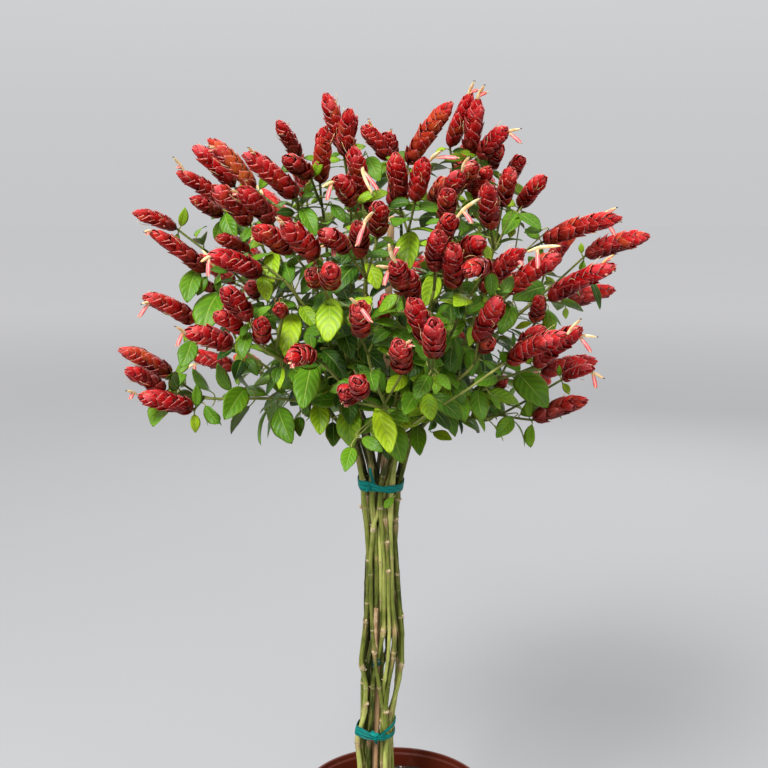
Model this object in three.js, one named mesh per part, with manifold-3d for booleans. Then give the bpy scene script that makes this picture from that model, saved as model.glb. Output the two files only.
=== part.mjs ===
// A shrimp plant grown as a small standard tree: nine bare canes and a bamboo stake, bundled with
// stretch tape, stand in a nursery pot and carry a round head of leaves and red bract spikes.
// Millimetres, +Z up. The origin is the centre of the pot's underside.
import * as THREE from "three";
import { mergeVertices } from "three/addons/utils/BufferGeometryUtils.js";
import Module from "manifold-3d";

const wasm = await Module();
wasm.setup();

// ---------------------------------------------------------------- driving dimensions
const GAP = 0.35; // between pieces that touch
const POT = { rim: 105, base: 74, height: 185, wall: 2.2, floor: 3, lip: 5, lipDepth: 20, edge: 1.5 };
const POT_SIDES = 28;
const DRAIN = { count: 6, radius: 5, ring: 46, sides: 6 };
const SOIL_LEVEL = 165;
const SOIL_CROWN = { height: 3, shoulder: 60 }; // the soil is a little higher in the middle
const FOOT = 105; // how low the canes and the stake reach in the soil
const CANE = { radius: 3.4, endRadius: 2.4, sides: 5 };
const STAKE = { radius: 3.9, sides: 8, top: 828, low: [375.5, 750], high: [384, 460] };
const BRANCH = { radius: 2.1, endRadius: 1.7, sides: 3 };
const STALK_RADIUS = 1.6;
const SPIKE = {
  radius: 11.5, fullLength: 120, bracts: 3, tier: 19, fewest: 3, most: 5,
  point: 0.3, taper: 0.55, neck: 0.58, overhang: 0.16, arch: 0.05,
};
const BLADE = { thickness: 0.8, width: 0.29, stalk: 0.9, fold: 0.22 };

// The tape bands. Each has its height, how far it dips towards the front and the left, and its
// width and thickness.
const TAPE_SIDES = 18;
const TIES = {
  top: { height: 541, front: 3.5, left: 1.5, width: 11, thickness: 1.2 },
  low: { height: 258, front: 3, left: 3, width: 11, thickness: 1.2 },
  middle: { height: 343, front: 0, left: 0, width: 5, thickness: 0.6 },
};

// The head is set out by eye from one standing point. Its places are marked on an upright sheet,
// 768 by 768 mm, held square to the line of sight 1100 mm from the eye: u runs to the right and
// v runs down from the sheet's upper left corner. A mark slides along its sight line to a depth,
// which is its Y in the plant's frame, so a mark with a smaller depth is nearer the eye.
const EYE = new THREE.Vector3(-12, -1155, 834);
const EYE_TILT = THREE.MathUtils.degToRad(9);
const SHEET = { distance: 1100, middle: 384 };
const SHEET_AHEAD = new THREE.Vector3(0, Math.cos(EYE_TILT), -Math.sin(EYE_TILT));
const SHEET_DOWN = new THREE.Vector3(0, -Math.sin(EYE_TILT), -Math.cos(EYE_TILT));

// Heights on the sheet at which the canes are marked, from the soil up to where they part,
// and the spacing in depth of the bundle's front, middle and back layers at each of them.
const CANE_MARKS = [765, 740, 712, 685, 660, 630, 600, 560, 528, 505, 484, 462, 440];
const LAYER_SPACING = [9, 9, 8.5, 10, 11, 11, 9.5, 8, 8, 10, 11, 13, 16];

// Each cane: its layer (-1 front, 0 middle, 1 back) and its place across the sheet at each mark.
const CANES = [
  { layer: -1, across: [360, 357, 365, 366, 361, 365, 368, 369, 367, 364, 363, 359, 352] },
  { layer: -1, across: [368, 369, 372, 373, 377.2, 384, 384.5, 384, 382, 380, 381, 386, 388] },
  { layer: -1, across: [385.5, 387, 385, 388, 393, 395, 392, 391, 390, 391, 392, 395, 398] },
  { layer: -1, across: [367, 366, 366, 367, 368.5, 374.5, 376.5, 376.5, 374.5, 372, 372, 371, 366],
    lower: 4 },
  { layer: 0, across: [388, 389, 390, 398, 402, 402, 399, 396, 394, 397, 399, 405, 411] },
  { layer: 1, across: [363, 364, 369, 370, 366, 369, 371, 371, 370, 367, 367, 363, 357] },
  { layer: 1, across: [371.5, 373, 377, 379, 379, 378, 379, 379, 378, 376, 377, 374, 370] },
  { layer: 1, across: [380, 381, 384.5, 388, 388, 387, 387, 387, 386, 386, 388, 390, 392] },
  { layer: 1, across: [388, 389, 392, 397, 398, 396, 395, 394.5, 393.5, 396, 398, 402, 406] },
];

// Sprays: the fork of each on the sheet with its depth, and its spikes as
// [tip u, tip v, base u, base v, depth of the base, length of the spike].
const SPRAYS = [
  { fork: [222, 262, -15], spikes: [[133, 213, 177, 229, -5, 52], [150, 232, 207, 272, -30, 72]] },
  { fork: [250, 224, 45],
    spikes: [[177, 172, 222, 203, 40, 60], [191, 199, 222, 216, 15, 45],
      [193, 146, 235, 187, 50, 62]] },
  { fork: [276, 248, -75], spikes: [[213, 186, 250, 225, -60, 58], [238, 188, 273, 224, -85, 56]] },
  { fork: [300, 222, -25], spikes: [[208, 139, 255, 190, 5, 70], [243, 154, 297, 198, -45, 74]] },
  { fork: [284, 280, -105], spikes: [[216, 238, 248, 251, -70, 44], [208, 255, 262, 275, -105, 62]] },
  { fork: [322, 206, -20],
    spikes: [[277, 121, 299, 158, 10, 50], [283, 158, 311, 178, -40, 45],
      [325, 127, 320, 184, -25, 62]] },
  { fork: [350, 194, 25], spikes: [[325, 93, 343, 150, 20, 64], [350, 109, 345, 158, 0, 56]] },
  { fork: [366, 230, -85],
    spikes: [[353, 147, 362, 200, -70, 62], [337, 178, 352, 205, -100, 52],
      [356, 182, 368, 208, -50, 44]] },
  { fork: [400, 192, 50],
    spikes: [[362, 126, 390, 160, 45, 52], [386, 134, 392, 160, 75, 48], [452, 102, 408, 165, 30, 84]] },
  { fork: [408, 232, -70], spikes: [[395, 153, 400, 207, -50, 60], [425, 158, 415, 202, -75, 52]] },
  { fork: [366, 278, -145],
    spikes: [[378, 203, 378, 236, -110, 48], [358, 223, 361, 256, -165, 56],
      [320, 233, 347, 250, -150, 48]] },
  { fork: [456, 184, 65], spikes: [[472, 93, 450, 148, 60, 66], [478, 98, 470, 157, 45, 66]] },
  { fork: [488, 194, 60],
    spikes: [[507, 128, 480, 158, 35, 52], [500, 147, 490, 168, 65, 44],
      [522, 157, 510, 180, 75, 46]] },
  { fork: [444, 232, -75],
    spikes: [[475, 163, 462, 188, -40, 46], [462, 172, 442, 205, -60, 50],
      [448, 180, 432, 203, -30, 44], [448, 190, 446, 220, -95, 50]] },
  { fork: [494, 248, -55],
    spikes: [[512, 168, 502, 207, -25, 52], [545, 177, 520, 207, -10, 52],
      [487, 184, 491, 230, -95, 58], [490, 168, 470, 200, -40, 50]] },
  { fork: [518, 254, -15], spikes: [[622, 218, 543, 242, -20, 88]] },
  { fork: [536, 300, -15], spikes: [[650, 236, 585, 256, 25, 72], [616, 266, 548, 300, -45, 84]] },
  { fork: [490, 312, -105],
    spikes: [[560, 256, 510, 290, -75, 66], [524, 250, 482, 292, -135, 72], [515, 276, 512, 292, -50, 40]] },
  { fork: [462, 306, -150],
    spikes: [[465, 272, 488, 268, -170, 52], [484, 242, 458, 258, -140, 46],
      [458, 252, 461, 278, -110, 44], [452, 244, 453, 288, -175, 58]] },
  { fork: [434, 290, -165], spikes: [[452, 217, 440, 245, -150, 52], [438, 232, 435, 270, -180, 56]] },
  { fork: [512, 354, -15], spikes: [[540, 297, 536, 322, 0, 42], [545, 329, 520, 345, -20, 42]] },
  { fork: [474, 364, -130],
    spikes: [[500, 298, 478, 342, -150, 60], [490, 342, 483, 350, -95, 36]] },
  { fork: [498, 380, -95], spikes: [[566, 335, 508, 362, -115, 78], [582, 328, 535, 366, -70, 78]] },
  { fork: [500, 415, -40],
    spikes: [[594, 368, 563, 379, -40, 48], [588, 400, 533, 420, -50, 64],
      [504, 378, 498, 392, -20, 38]] },
  { fork: [324, 290, -150],
    spikes: [[253, 229, 292, 252, -120, 58], [282, 225, 316, 258, -170, 60],
      [330, 268, 331, 287, -195, 48], [310, 273, 318, 285, -150, 34]] },
  { fork: [368, 354, -175], spikes: [[360, 304, 361, 336, -205, 56], [388, 297, 384, 318, -140, 42]] },
  { fork: [408, 322, -165], spikes: [[395, 263, 402, 292, -195, 58], [405, 273, 413, 300, -180, 56]] },
  { fork: [430, 378, -170], spikes: [[410, 299, 428, 345, -200, 62], [434, 320, 434, 358, -215, 56]] },
  { fork: [382, 408, -170],
    spikes: [[398, 343, 403, 372, -205, 56], [356, 381, 362, 397, -205, 50],
      [345, 391, 350, 400, -175, 40]] },
  { fork: [324, 364, -140], spikes: [[288, 361, 312, 355, -165, 48]] },
  { fork: [276, 350, -95],
    spikes: [[262, 320, 262, 343, -110, 46], [250, 286, 256, 296, -60, 40],
      [278, 308, 283, 316, -120, 36]] },
  { fork: [240, 348, -35],
    spikes: [[143, 296, 195, 322, -30, 64], [184, 333, 232, 346, -75, 60],
      [200, 287, 215, 290, 20, 40]] },
  { fork: [258, 344, -110], spikes: [[222, 289, 250, 320, -120, 54], [214, 315, 244, 332, -100, 46]] },
  { fork: [204, 398, -35],
    spikes: [[119, 349, 172, 376, -25, 66], [125, 370, 165, 391, -50, 50],
      [138, 397, 193, 410, -45, 62]] },
];

// Leaves that face the eye, as [base u, base v, tip u, tip v].
const LEAVES = [
  [330, 297, 327, 343], [302, 306, 318, 330], [292, 313, 285, 358], [275, 250, 273, 284],
  [262, 275, 268, 302], [293, 267, 282, 290], [410, 231, 408, 272], [438, 275, 424, 307],
  [376, 407, 390, 454], [395, 396, 378, 410], [362, 438, 383, 452], [418, 425, 420, 456],
  [433, 432, 452, 440], [352, 447, 345, 472], [352, 397, 350, 425], [350, 405, 352, 448],
  [318, 402, 320, 435], [333, 422, 333, 447], [278, 407, 292, 444], [300, 417, 300, 437],
  [312, 362, 302, 410], [280, 367, 275, 384], [245, 358, 258, 376], [250, 332, 243, 360],
  [242, 360, 235, 380], [245, 388, 224, 420], [170, 395, 153, 427], [192, 340, 181, 368],
  [220, 292, 203, 335], [198, 268, 187, 303], [232, 350, 217, 360], [225, 213, 237, 240],
  [252, 228, 242, 242], [302, 207, 316, 237], [295, 213, 276, 213], [332, 205, 345, 223],
  [368, 157, 380, 182], [357, 252, 340, 265], [366, 263, 378, 290], [492, 228, 494, 252],
  [518, 212, 503, 235], [519, 214, 541, 230], [542, 230, 524, 233], [548, 310, 553, 335],
  [478, 290, 456, 288], [470, 327, 469, 347], [470, 350, 472, 377], [478, 389, 483, 421],
  [518, 373, 548, 408], [513, 418, 496, 438], [452, 350, 450, 372], [435, 376, 435, 395],
  [405, 385, 408, 402], [407, 376, 386, 393], [360, 347, 386, 369], [340, 326, 352, 360],
  [322, 350, 345, 380], [320, 270, 302, 295], [357, 265, 335, 295], [588, 277, 600, 310],
  [512, 305, 500, 335], [545, 287, 512, 300], [300, 350, 262, 352], [392, 330, 372, 344],
  [440, 330, 446, 352], [420, 356, 408, 378], [455, 384, 462, 405], [500, 352, 520, 372],
];

// ---------------------------------------------------------------- helpers
const UP = new THREE.Vector3(0, 0, 1);
const ACROSS = new THREE.Vector3(1, 0, 0);

function seeded(seed) {
  let state = seed >>> 0;
  return () => {
    state = (state + 0x6d2b79f5) >>> 0;
    let mixed = Math.imul(state ^ (state >>> 15), state | 1);
    mixed ^= mixed + Math.imul(mixed ^ (mixed >>> 7), mixed | 61);
    return ((mixed ^ (mixed >>> 14)) >>> 0) / 4294967296;
  };
}

function sightLine(u, v) {
  return new THREE.Vector3(u - SHEET.middle, 0, 0)
    .addScaledVector(SHEET_AHEAD, SHEET.distance)
    .addScaledVector(SHEET_DOWN, v - SHEET.middle);
}

// The point that a mark stands for at a depth.
function place(u, v, depth) {
  const ray = sightLine(u, v);
  return EYE.clone().addScaledVector(ray, (depth - EYE.y) / ray.y);
}

// The point on a mark's sight line that lies `reach` from `start`, on the side nearer the eye.
function placeFrom(start, u, v, reach) {
  const ray = sightLine(u, v).normalize();
  const toStart = start.clone().sub(EYE);
  const along = toStart.dot(ray);
  const aside = toStart.lengthSq() - along * along;
  return EYE.clone().addScaledVector(ray, along - Math.sqrt(Math.max(0, reach * reach - aside)));
}

function towards(from, to) {
  return to.clone().sub(from).normalize();
}

// A closed three.js geometry as a solid that can be cut and joined.
function solid(geometry) {
  geometry.deleteAttribute("normal");
  geometry.deleteAttribute("uv");
  const merged = mergeVertices(geometry, 1e-4);
  const corners = merged.index.array;
  const kept = [];
  for (let i = 0; i < corners.length; i += 3) {
    const [a, b, c] = corners.subarray(i, i + 3);
    if (a !== b && b !== c && c !== a) kept.push(a, b, c);
  }
  return new wasm.Manifold(new wasm.Mesh({
    numProp: 3,
    vertProperties: merged.attributes.position.array,
    triVerts: new Uint32Array(kept),
  }));
}

// Joins solids that cross into one body; a hollow that this seals is filled.
function fused(solids) {
  const bodies = solids.reduce((whole, next) => whole.add(next)).decompose();
  return bodies.reduce((largest, next) => (next.volume() > largest.volume() ? next : largest));
}

// A body turned round a bent line. Each ring has a centre, a direction, a radius and a turn;
// the first and last rings have no radius, so the ends close.
function turned(rings, sides, reference) {
  const profile = rings.map((ring, index) => new THREE.Vector2(ring.radius, index));
  const geometry = new THREE.LatheGeometry(profile, sides);
  const position = geometry.attributes.position;
  for (let side = 0; side <= sides; side++) {
    rings.forEach((ring, index) => {
      const angle = ((side % sides) / sides) * 2 * Math.PI + (ring.turn ?? 0);
      const across = reference.clone().projectOnPlane(ring.along).normalize();
      const beside = ring.along.clone().cross(across);
      const point = ring.centre.clone()
        .addScaledVector(across, ring.radius * Math.cos(angle))
        .addScaledVector(beside, ring.radius * Math.sin(angle));
      position.setXYZ(side * rings.length + index, point.x, point.y, point.z);
    });
  }
  return solid(geometry);
}

// A tapering rod through the points, with flat ends.
function rod(points, radii, sides, reference) {
  const rings = points.map((centre, index) => {
    const before = points[Math.max(index - 1, 0)];
    const after = points[Math.min(index + 1, points.length - 1)];
    return { centre, along: towards(before, after), radius: radii[index] };
  });
  const first = { ...rings[0], radius: 0 };
  const last = { ...rings[rings.length - 1], radius: 0 };
  return turned([first, ...rings, last], sides, reference);
}

// ---------------------------------------------------------------- what is already in place
// Each solid that is in place, with the node that it belongs to and its box.
const inPlace = [];

function put(node, body) {
  inPlace.push({ node, body, box: body.boundingBox() });
  return body;
}

function boxesMeet(one, other) {
  return [0, 1, 2].every((axis) => one.min[axis] - GAP < other.max[axis]
    && other.min[axis] - GAP < one.max[axis]);
}

function isClear(body, node) {
  const box = body.boundingBox();
  return inPlace.every((other) => other.node === node || !boxesMeet(box, other.box)
    || body.intersect(other.body).isEmpty());
}

// ---------------------------------------------------------------- pot and soil
function lathe(outline, sides) {
  const geometry = new THREE.LatheGeometry(outline.map(([r, z]) => new THREE.Vector2(r, z)), sides);
  return solid(geometry.rotateX(Math.PI / 2));
}

const potInside = (z) => POT.base - POT.wall
  + ((POT.rim - POT.lip - POT.base) * (z - POT.floor)) / (POT.height - POT.lipDepth - POT.floor);

function makePot() {
  const shoulder = POT.height - POT.lipDepth;
  const neck = POT.rim - POT.lip;
  const { edge } = POT;
  const body = lathe([
    [0, 0], [POT.base - 2 * edge, 0], [POT.base, 2 * edge], [neck, shoulder - edge],
    [POT.rim - edge, shoulder], [POT.rim, POT.height - 2 * edge], [POT.rim - edge, POT.height],
    [neck + edge, POT.height - edge], [neck - edge, shoulder + edge],
    [potInside(POT.floor), POT.floor], [0, POT.floor],
  ], POT_SIDES);
  const holes = Array.from({ length: DRAIN.count }, (_, index) => {
    const angle = (index / DRAIN.count) * 2 * Math.PI;
    const at = new THREE.Vector3(DRAIN.ring * Math.cos(angle), DRAIN.ring * Math.sin(angle), 0);
    return rod([at.clone().setZ(-1), at.clone().setZ(POT.floor + 1)],
      [DRAIN.radius, DRAIN.radius], DRAIN.sides, ACROSS);
  });
  return holes.reduce((rest, hole) => rest.subtract(hole), body);
}

function makeSoil(roots) {
  const low = POT.floor + GAP;
  const room = 1 + GAP;
  const body = lathe([
    [0, low], [potInside(low) - room, low], [potInside(SOIL_LEVEL) - room, SOIL_LEVEL],
    [SOIL_CROWN.shoulder, SOIL_LEVEL + 0.7 * SOIL_CROWN.height],
    [0, SOIL_LEVEL + SOIL_CROWN.height],
  ], POT_SIDES);
  return roots.reduce((rest, { at, radius, sides }) => {
    const wide = (radius + GAP) / Math.cos(Math.PI / sides);
    const hole = rod([at.clone().setZ(FOOT - GAP), at.clone().setZ(POT.height)],
      [wide, wide], sides, ACROSS);
    return rest.subtract(hole);
  }, body);
}

// ---------------------------------------------------------------- canes and stake
// Where a cane or the stake comes out of the soil and may start to lean.
const SOIL_TOP = SOIL_LEVEL + SOIL_CROWN.height + 2;

function caneLine({ layer, across, lower }) {
  const marks = CANE_MARKS.map((v, index) => {
    const row = lower && index < lower ? 0 : layer;
    return place(across[index], v, row * LAYER_SPACING[index]);
  });
  const foot = marks[0].clone().setZ(FOOT);
  return [foot, foot.clone().setZ(SOIL_TOP), ...marks];
}

const caneLines = CANES.map(caneLine);

function stakeLine() {
  const low = place(...STAKE.low, 0);
  const high = place(...STAKE.high, 0);
  const atHeight = (z) => low.clone().lerp(high, (z - low.z) / (high.z - low.z));
  const foot = atHeight(SOIL_LEVEL).setZ(FOOT);
  return [foot, foot.clone().setZ(SOIL_TOP), atHeight(STAKE.top)];
}

// Where a line of rising points is at a height.
function lineAt(line, z) {
  const above = line.findIndex((point) => point.z >= z);
  const low = line[above - 1];
  return low.clone().lerp(line[above], (z - low.z) / (line[above].z - low.z));
}

// ---------------------------------------------------------------- tape
// A closed band drawn tight round some of the canes.
function makeTape(lines, radii, { height, front, left, width, thickness }) {
  const middle = (angle) => height + front * Math.sin(angle) - left * Math.cos(angle);
  const centre = lines.reduce((sum, line) => sum.add(lineAt(line, middle(0))), new THREE.Vector3())
    .divideScalar(lines.length);
  const reach = (angle) => Math.max(...[-0.5, 0, 0.5].flatMap((part) => lines.map((line, index) => {
    const at = lineAt(line, middle(angle) + part * width).sub(centre);
    return at.x * Math.cos(angle) + at.y * Math.sin(angle) + radii[index];
  })));
  const loose = 1 / Math.cos(Math.PI / TAPE_SIDES);
  const profile = [[0, -0.5], [1, -0.5], [1, 0.5], [0, 0.5], [0, -0.5]];
  const geometry = new THREE.LatheGeometry(
    profile.map(([x, y]) => new THREE.Vector2(x + 1, y)), TAPE_SIDES);
  const position = geometry.attributes.position;
  for (let side = 0; side <= TAPE_SIDES; side++) {
    const angle = ((side % TAPE_SIDES) / TAPE_SIDES) * 2 * Math.PI;
    profile.forEach(([out, high], index) => {
      const radius = reach(angle) * loose + GAP + out * thickness;
      position.setXYZ(side * profile.length + index, centre.x + radius * Math.cos(angle),
        centre.y + radius * Math.sin(angle), middle(angle) + high * width);
    });
  }
  return solid(geometry);
}

// ---------------------------------------------------------------- sprays
// A spike of bracts on its stalk: tiers of flaring bracts, each tier turned half a bract and
// seated inside the rim of the tier below. The spike arches a little as it grows out.
function makeSpike(fork, { base, tip }, turn) {
  const length = base.distanceTo(tip);
  const tiers = THREE.MathUtils.clamp(Math.round(length / SPIKE.tier), SPIKE.fewest, SPIKE.most);
  const pitch = 1 / (tiers + SPIKE.point);
  const straight = towards(base, tip);
  const lift = SPIKE.arch * length;
  const wide = SPIKE.radius * Math.min(1, 0.55 + length / SPIKE.fullLength);
  const stalkAlong = towards(fork, base);
  const reference = new THREE.Vector3().crossVectors(stalkAlong, straight);
  if (reference.lengthSq() < 1e-4) reference.crossVectors(straight, UP);
  const ringAt = (part, radius, tier) => ({
    centre: base.clone().lerp(tip, part).addScaledVector(UP, 4 * lift * part * (1 - part)),
    along: straight.clone().multiplyScalar(length).addScaledVector(UP, 4 * lift * (1 - 2 * part))
      .normalize(),
    radius,
    turn: turn + (tier * Math.PI) / SPIKE.bracts,
  });
  const envelope = (part) => wide * (1 - SPIKE.taper * part ** 3);
  const rings = [
    { centre: fork, along: stalkAlong, radius: 0, turn },
    { centre: fork, along: stalkAlong, radius: STALK_RADIUS, turn },
    { ...ringAt(0, STALK_RADIUS, 0), along: stalkAlong.clone().add(straight).normalize() },
  ];
  for (let tier = 0; tier < tiers; tier++) {
    const rim = (tier + 1 + (tier < tiers - 1 ? SPIKE.overhang : 0)) * pitch;
    if (tier > 0) rings.push(ringAt(tier * pitch, SPIKE.neck * envelope(tier * pitch), tier));
    rings.push(ringAt(rim, envelope(rim), tier + 1));
  }
  rings.push(ringAt(1, 0, tiers));
  return turned(rings, SPIKE.bracts, reference);
}

const SPRAY_SHIFTS = [0, 6, -6, 12, -12, 18, -18, 24, -24, 30, -30, 36, -36, 42, -42];
const SPIKE_SHIFTS = [0, 6, -6, 12, -12, 18, -18];
const STALKS_CROSS = 30; // the volume in which two stalks join at their fork

// A marked spray at a shift in depth; each spike may also slide until it clears its neighbours.
function sprayFromMarks({ fork, spikes }, shift) {
  const [forkU, forkV, forkDepth] = fork;
  const root = place(forkU, forkV, forkDepth + shift);
  const set = [];
  spikes.forEach(([tipU, tipV, baseU, baseV, depth, length]) => {
    const options = SPIKE_SHIFTS.map((slide) => {
      const base = place(baseU, baseV, depth + shift + slide);
      return { base, tip: placeFrom(base, tipU, tipV, length) };
    });
    const crossing = options.map((option) => {
      const body = makeSpike(root, option, 0);
      return set.reduce((sum, other) => sum + body.intersect(makeSpike(root, other, 0)).volume(), 0);
    });
    const clear = crossing.findIndex((volume) => volume < STALKS_CROSS * set.length);
    set.push(options[clear >= 0 ? clear : crossing.indexOf(Math.min(...crossing))]);
  });
  return { fork: root, spikes: set };
}

// The far side of the head: rings of forks at three levels, each with a fan of spikes.
const FAR_LEVELS = [
  { count: 4, z: 655, reach: 175, from: 15, to: 165 },
  { count: 4, z: 735, reach: 180, from: 8, to: 172 },
  { count: 3, z: 815, reach: 120, from: 30, to: 150 },
];
const FAR_SPIKES = 2;
const HEAD_MIDDLE = new THREE.Vector3(-12, 0, 640);

function farSpray(level, index, attempt) {
  const random = seeded(1000 * level.z + 40 * index + attempt);
  const part = (index + 0.5 + 0.3 * (random() - 0.5)) / level.count;
  const azimuth = THREE.MathUtils.degToRad(level.from + (level.to - level.from) * part);
  const reach = level.reach * (0.92 + 0.16 * random());
  const fork = new THREE.Vector3(
    HEAD_MIDDLE.x + reach * Math.cos(azimuth),
    HEAD_MIDDLE.y + reach * Math.sin(azimuth),
    level.z + 24 * (random() - 0.5),
  );
  const out = towards(HEAD_MIDDLE, fork);
  const beside = new THREE.Vector3().crossVectors(out, UP).normalize();
  const over = new THREE.Vector3().crossVectors(beside, out).normalize();
  const start = random() * 2 * Math.PI;
  const spikes = Array.from({ length: FAR_SPIKES }, (_, spike) => {
    const round = start + ((spike + 0.3 * random()) / FAR_SPIKES) * 2 * Math.PI;
    const lean = beside.clone().multiplyScalar(Math.cos(round)).addScaledVector(over, Math.sin(round));
    const base = fork.clone()
      .addScaledVector(out.clone().addScaledVector(lean, 0.9).normalize(), 30 + 10 * random());
    const along = out.clone().addScaledVector(lean, 0.35).addScaledVector(UP, 0.1).normalize();
    return { base, tip: base.clone().addScaledVector(along, 50 + 24 * random()) };
  });
  return { fork, spikes };
}

function sprayBody({ fork, spikes }, seed) {
  const random = seeded(seed);
  return fused(spikes.map((spike) => makeSpike(fork, spike, random() * Math.PI / 2)));
}

const FAR_ATTEMPTS = 30;

function makeSprays() {
  const sprays = [];
  const settle = (options) => {
    const node = `spray_${String(sprays.length + 1).padStart(2, "0")}`;
    for (const option of options) {
      const body = sprayBody(option, 7 + sprays.length);
      if (!isClear(body, node)) continue;
      sprays.push({ ...option, node, body: put(node, body) });
      return;
    }
    throw new Error(`${node} finds no clear place`);
  };
  SPRAYS.forEach((spray) => settle(SPRAY_SHIFTS.map((shift) => sprayFromMarks(spray, shift))));
  FAR_LEVELS.forEach((level) => {
    for (let index = 0; index < level.count; index++) {
      settle(Array.from({ length: FAR_ATTEMPTS }, (_, attempt) => farSpray(level, index, attempt)));
    }
  });
  return sprays;
}

// ---------------------------------------------------------------- stems
function azimuthOf(point) {
  return Math.atan2(point.y - HEAD_MIDDLE.y, point.x - HEAD_MIDDLE.x);
}

// Deals the sprays to the canes in order round the head, so that no branches cross.
function dealSprays(sprays) {
  const canes = caneLines.map((line, index) => ({ index, azimuth: azimuthOf(line.at(-1)) }))
    .sort((one, other) => one.azimuth - other.azimuth);
  const around = [...sprays].sort((one, other) => azimuthOf(one.fork) - azimuthOf(other.fork));
  const share = around.length / canes.length;
  const dealt = (offset) => canes.map((cane, group) => ({
    ...cane,
    sprays: Array.from({ length: share }, (_, k) => around[(offset + group * share + k) % around.length]),
  }));
  const cost = (deal) => deal.reduce((sum, cane) => sum + cane.sprays.reduce((part, spray) => {
    const turn = azimuthOf(spray.fork) - cane.azimuth;
    return part + Math.atan2(Math.sin(turn), Math.cos(turn)) ** 2;
  }, 0), 0);
  const deals = around.map((_, offset) => dealt(offset));
  return deals.reduce((best, deal) => (cost(deal) < cost(best) ? deal : best));
}

const BEND_SHIFTS = [0, 9, 18, 27, 36];
const BEND_TURNS = 8;
const BRANCH_RINGS = 3;
const CROTCH = 0.3; // how far a cane goes on past its last mark, towards its sprays
const FIRST_BRANCH = 0.3; // where on that last stretch the first branch leaves it
const BRANCH_STRETCH = 0.62;
const FORK_ROOM = 0.9; // how much of a tilted stalk's end a branch stops short of

// The ways a branch may bow on its way from the cane to the fork of its spray.
function branchLines(start, caneAlong, spray) {
  const { fork, spikes } = spray;
  const leaving = spikes.reduce((sum, { base }) => sum.add(towards(fork, base)), new THREE.Vector3())
    .normalize();
  const chord = towards(start, fork);
  const arrival = leaving.clone().multiplyScalar(0.5).add(chord).normalize();
  const tilt = Math.max(...spikes.map(({ base }) => Math.sin(arrival.angleTo(towards(fork, base)))));
  const end = fork.clone().addScaledVector(arrival, -(GAP + FORK_ROOM * STALK_RADIUS * tilt));
  const span = start.distanceTo(end);
  const beside = new THREE.Vector3().crossVectors(chord, UP).normalize();
  const over = new THREE.Vector3().crossVectors(beside, chord);
  const lines = [];
  for (const shift of BEND_SHIFTS) {
    for (let turn = 0; turn < (shift ? BEND_TURNS : 1); turn++) {
      const angle = (turn / BEND_TURNS) * 2 * Math.PI;
      const bow = beside.clone().multiplyScalar(shift * Math.cos(angle))
        .addScaledVector(over, shift * Math.sin(angle));
      const curve = new THREE.CubicBezierCurve3(
        start,
        start.clone().addScaledVector(caneAlong, 0.22 * span).addScaledVector(chord, 0.1 * span)
          .add(bow),
        end.clone().addScaledVector(arrival, -0.32 * span).add(bow),
        end,
      );
      lines.push(curve.getPoints(BRANCH_RINGS));
    }
  }
  return lines;
}

function makeStem({ index, sprays }) {
  const node = `stem_${index + 1}`;
  const line = caneLines[index];
  const top = line.at(-1);
  const middle = sprays.reduce((sum, { fork }) => sum.add(fork), new THREE.Vector3())
    .divideScalar(sprays.length);
  const crotch = top.clone().lerp(middle, CROTCH);
  const points = [...line, crotch];
  const radii = points.map((_, k) => (k < points.length - 1 ? CANE.radius : CANE.endRadius));
  const cane = rod(points, radii, CANE.sides, ACROSS);
  const caneAlong = towards(top, crotch);
  const branches = sprays.map((spray, k) => {
    const part = FIRST_BRANCH + (BRANCH_STRETCH * (k + 1)) / sprays.length;
    const start = top.clone().lerp(crotch, part);
    return { spray, start, caneAlong };
  });
  return { node, cane, branches };
}

// ---------------------------------------------------------------- leaves
const LEAF_DEPTHS = { step: 6, count: 30, cost: 0.12 };
const FORESHORTENED = 1.12; // a leaf is this much longer than it looks
const FAR_SIDE = -10; // branches to forks deeper than this carry a pair of leaves each
const FAR_LEAF = { at: 0.65, length: 44, stalk: 9, droop: 0.2, attempts: 12, turn: 0.52 };
const HEAD_FRONT = { middle: 680, above: 285, below: 150, across: 292, deep: 218, least: 0.02 };

// The front of the head, as the depth at which a sight line meets its rounded surface.
function frontDepth(u, v) {
  const { x, z } = place(u, v, 0);
  const tall = z > HEAD_FRONT.middle ? HEAD_FRONT.above : HEAD_FRONT.below;
  const inside = 1 - ((x - HEAD_MIDDLE.x) / HEAD_FRONT.across) ** 2
    - ((z - HEAD_FRONT.middle) / tall) ** 2;
  return -HEAD_FRONT.deep * Math.sqrt(Math.max(inside, HEAD_FRONT.least));
}

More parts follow.
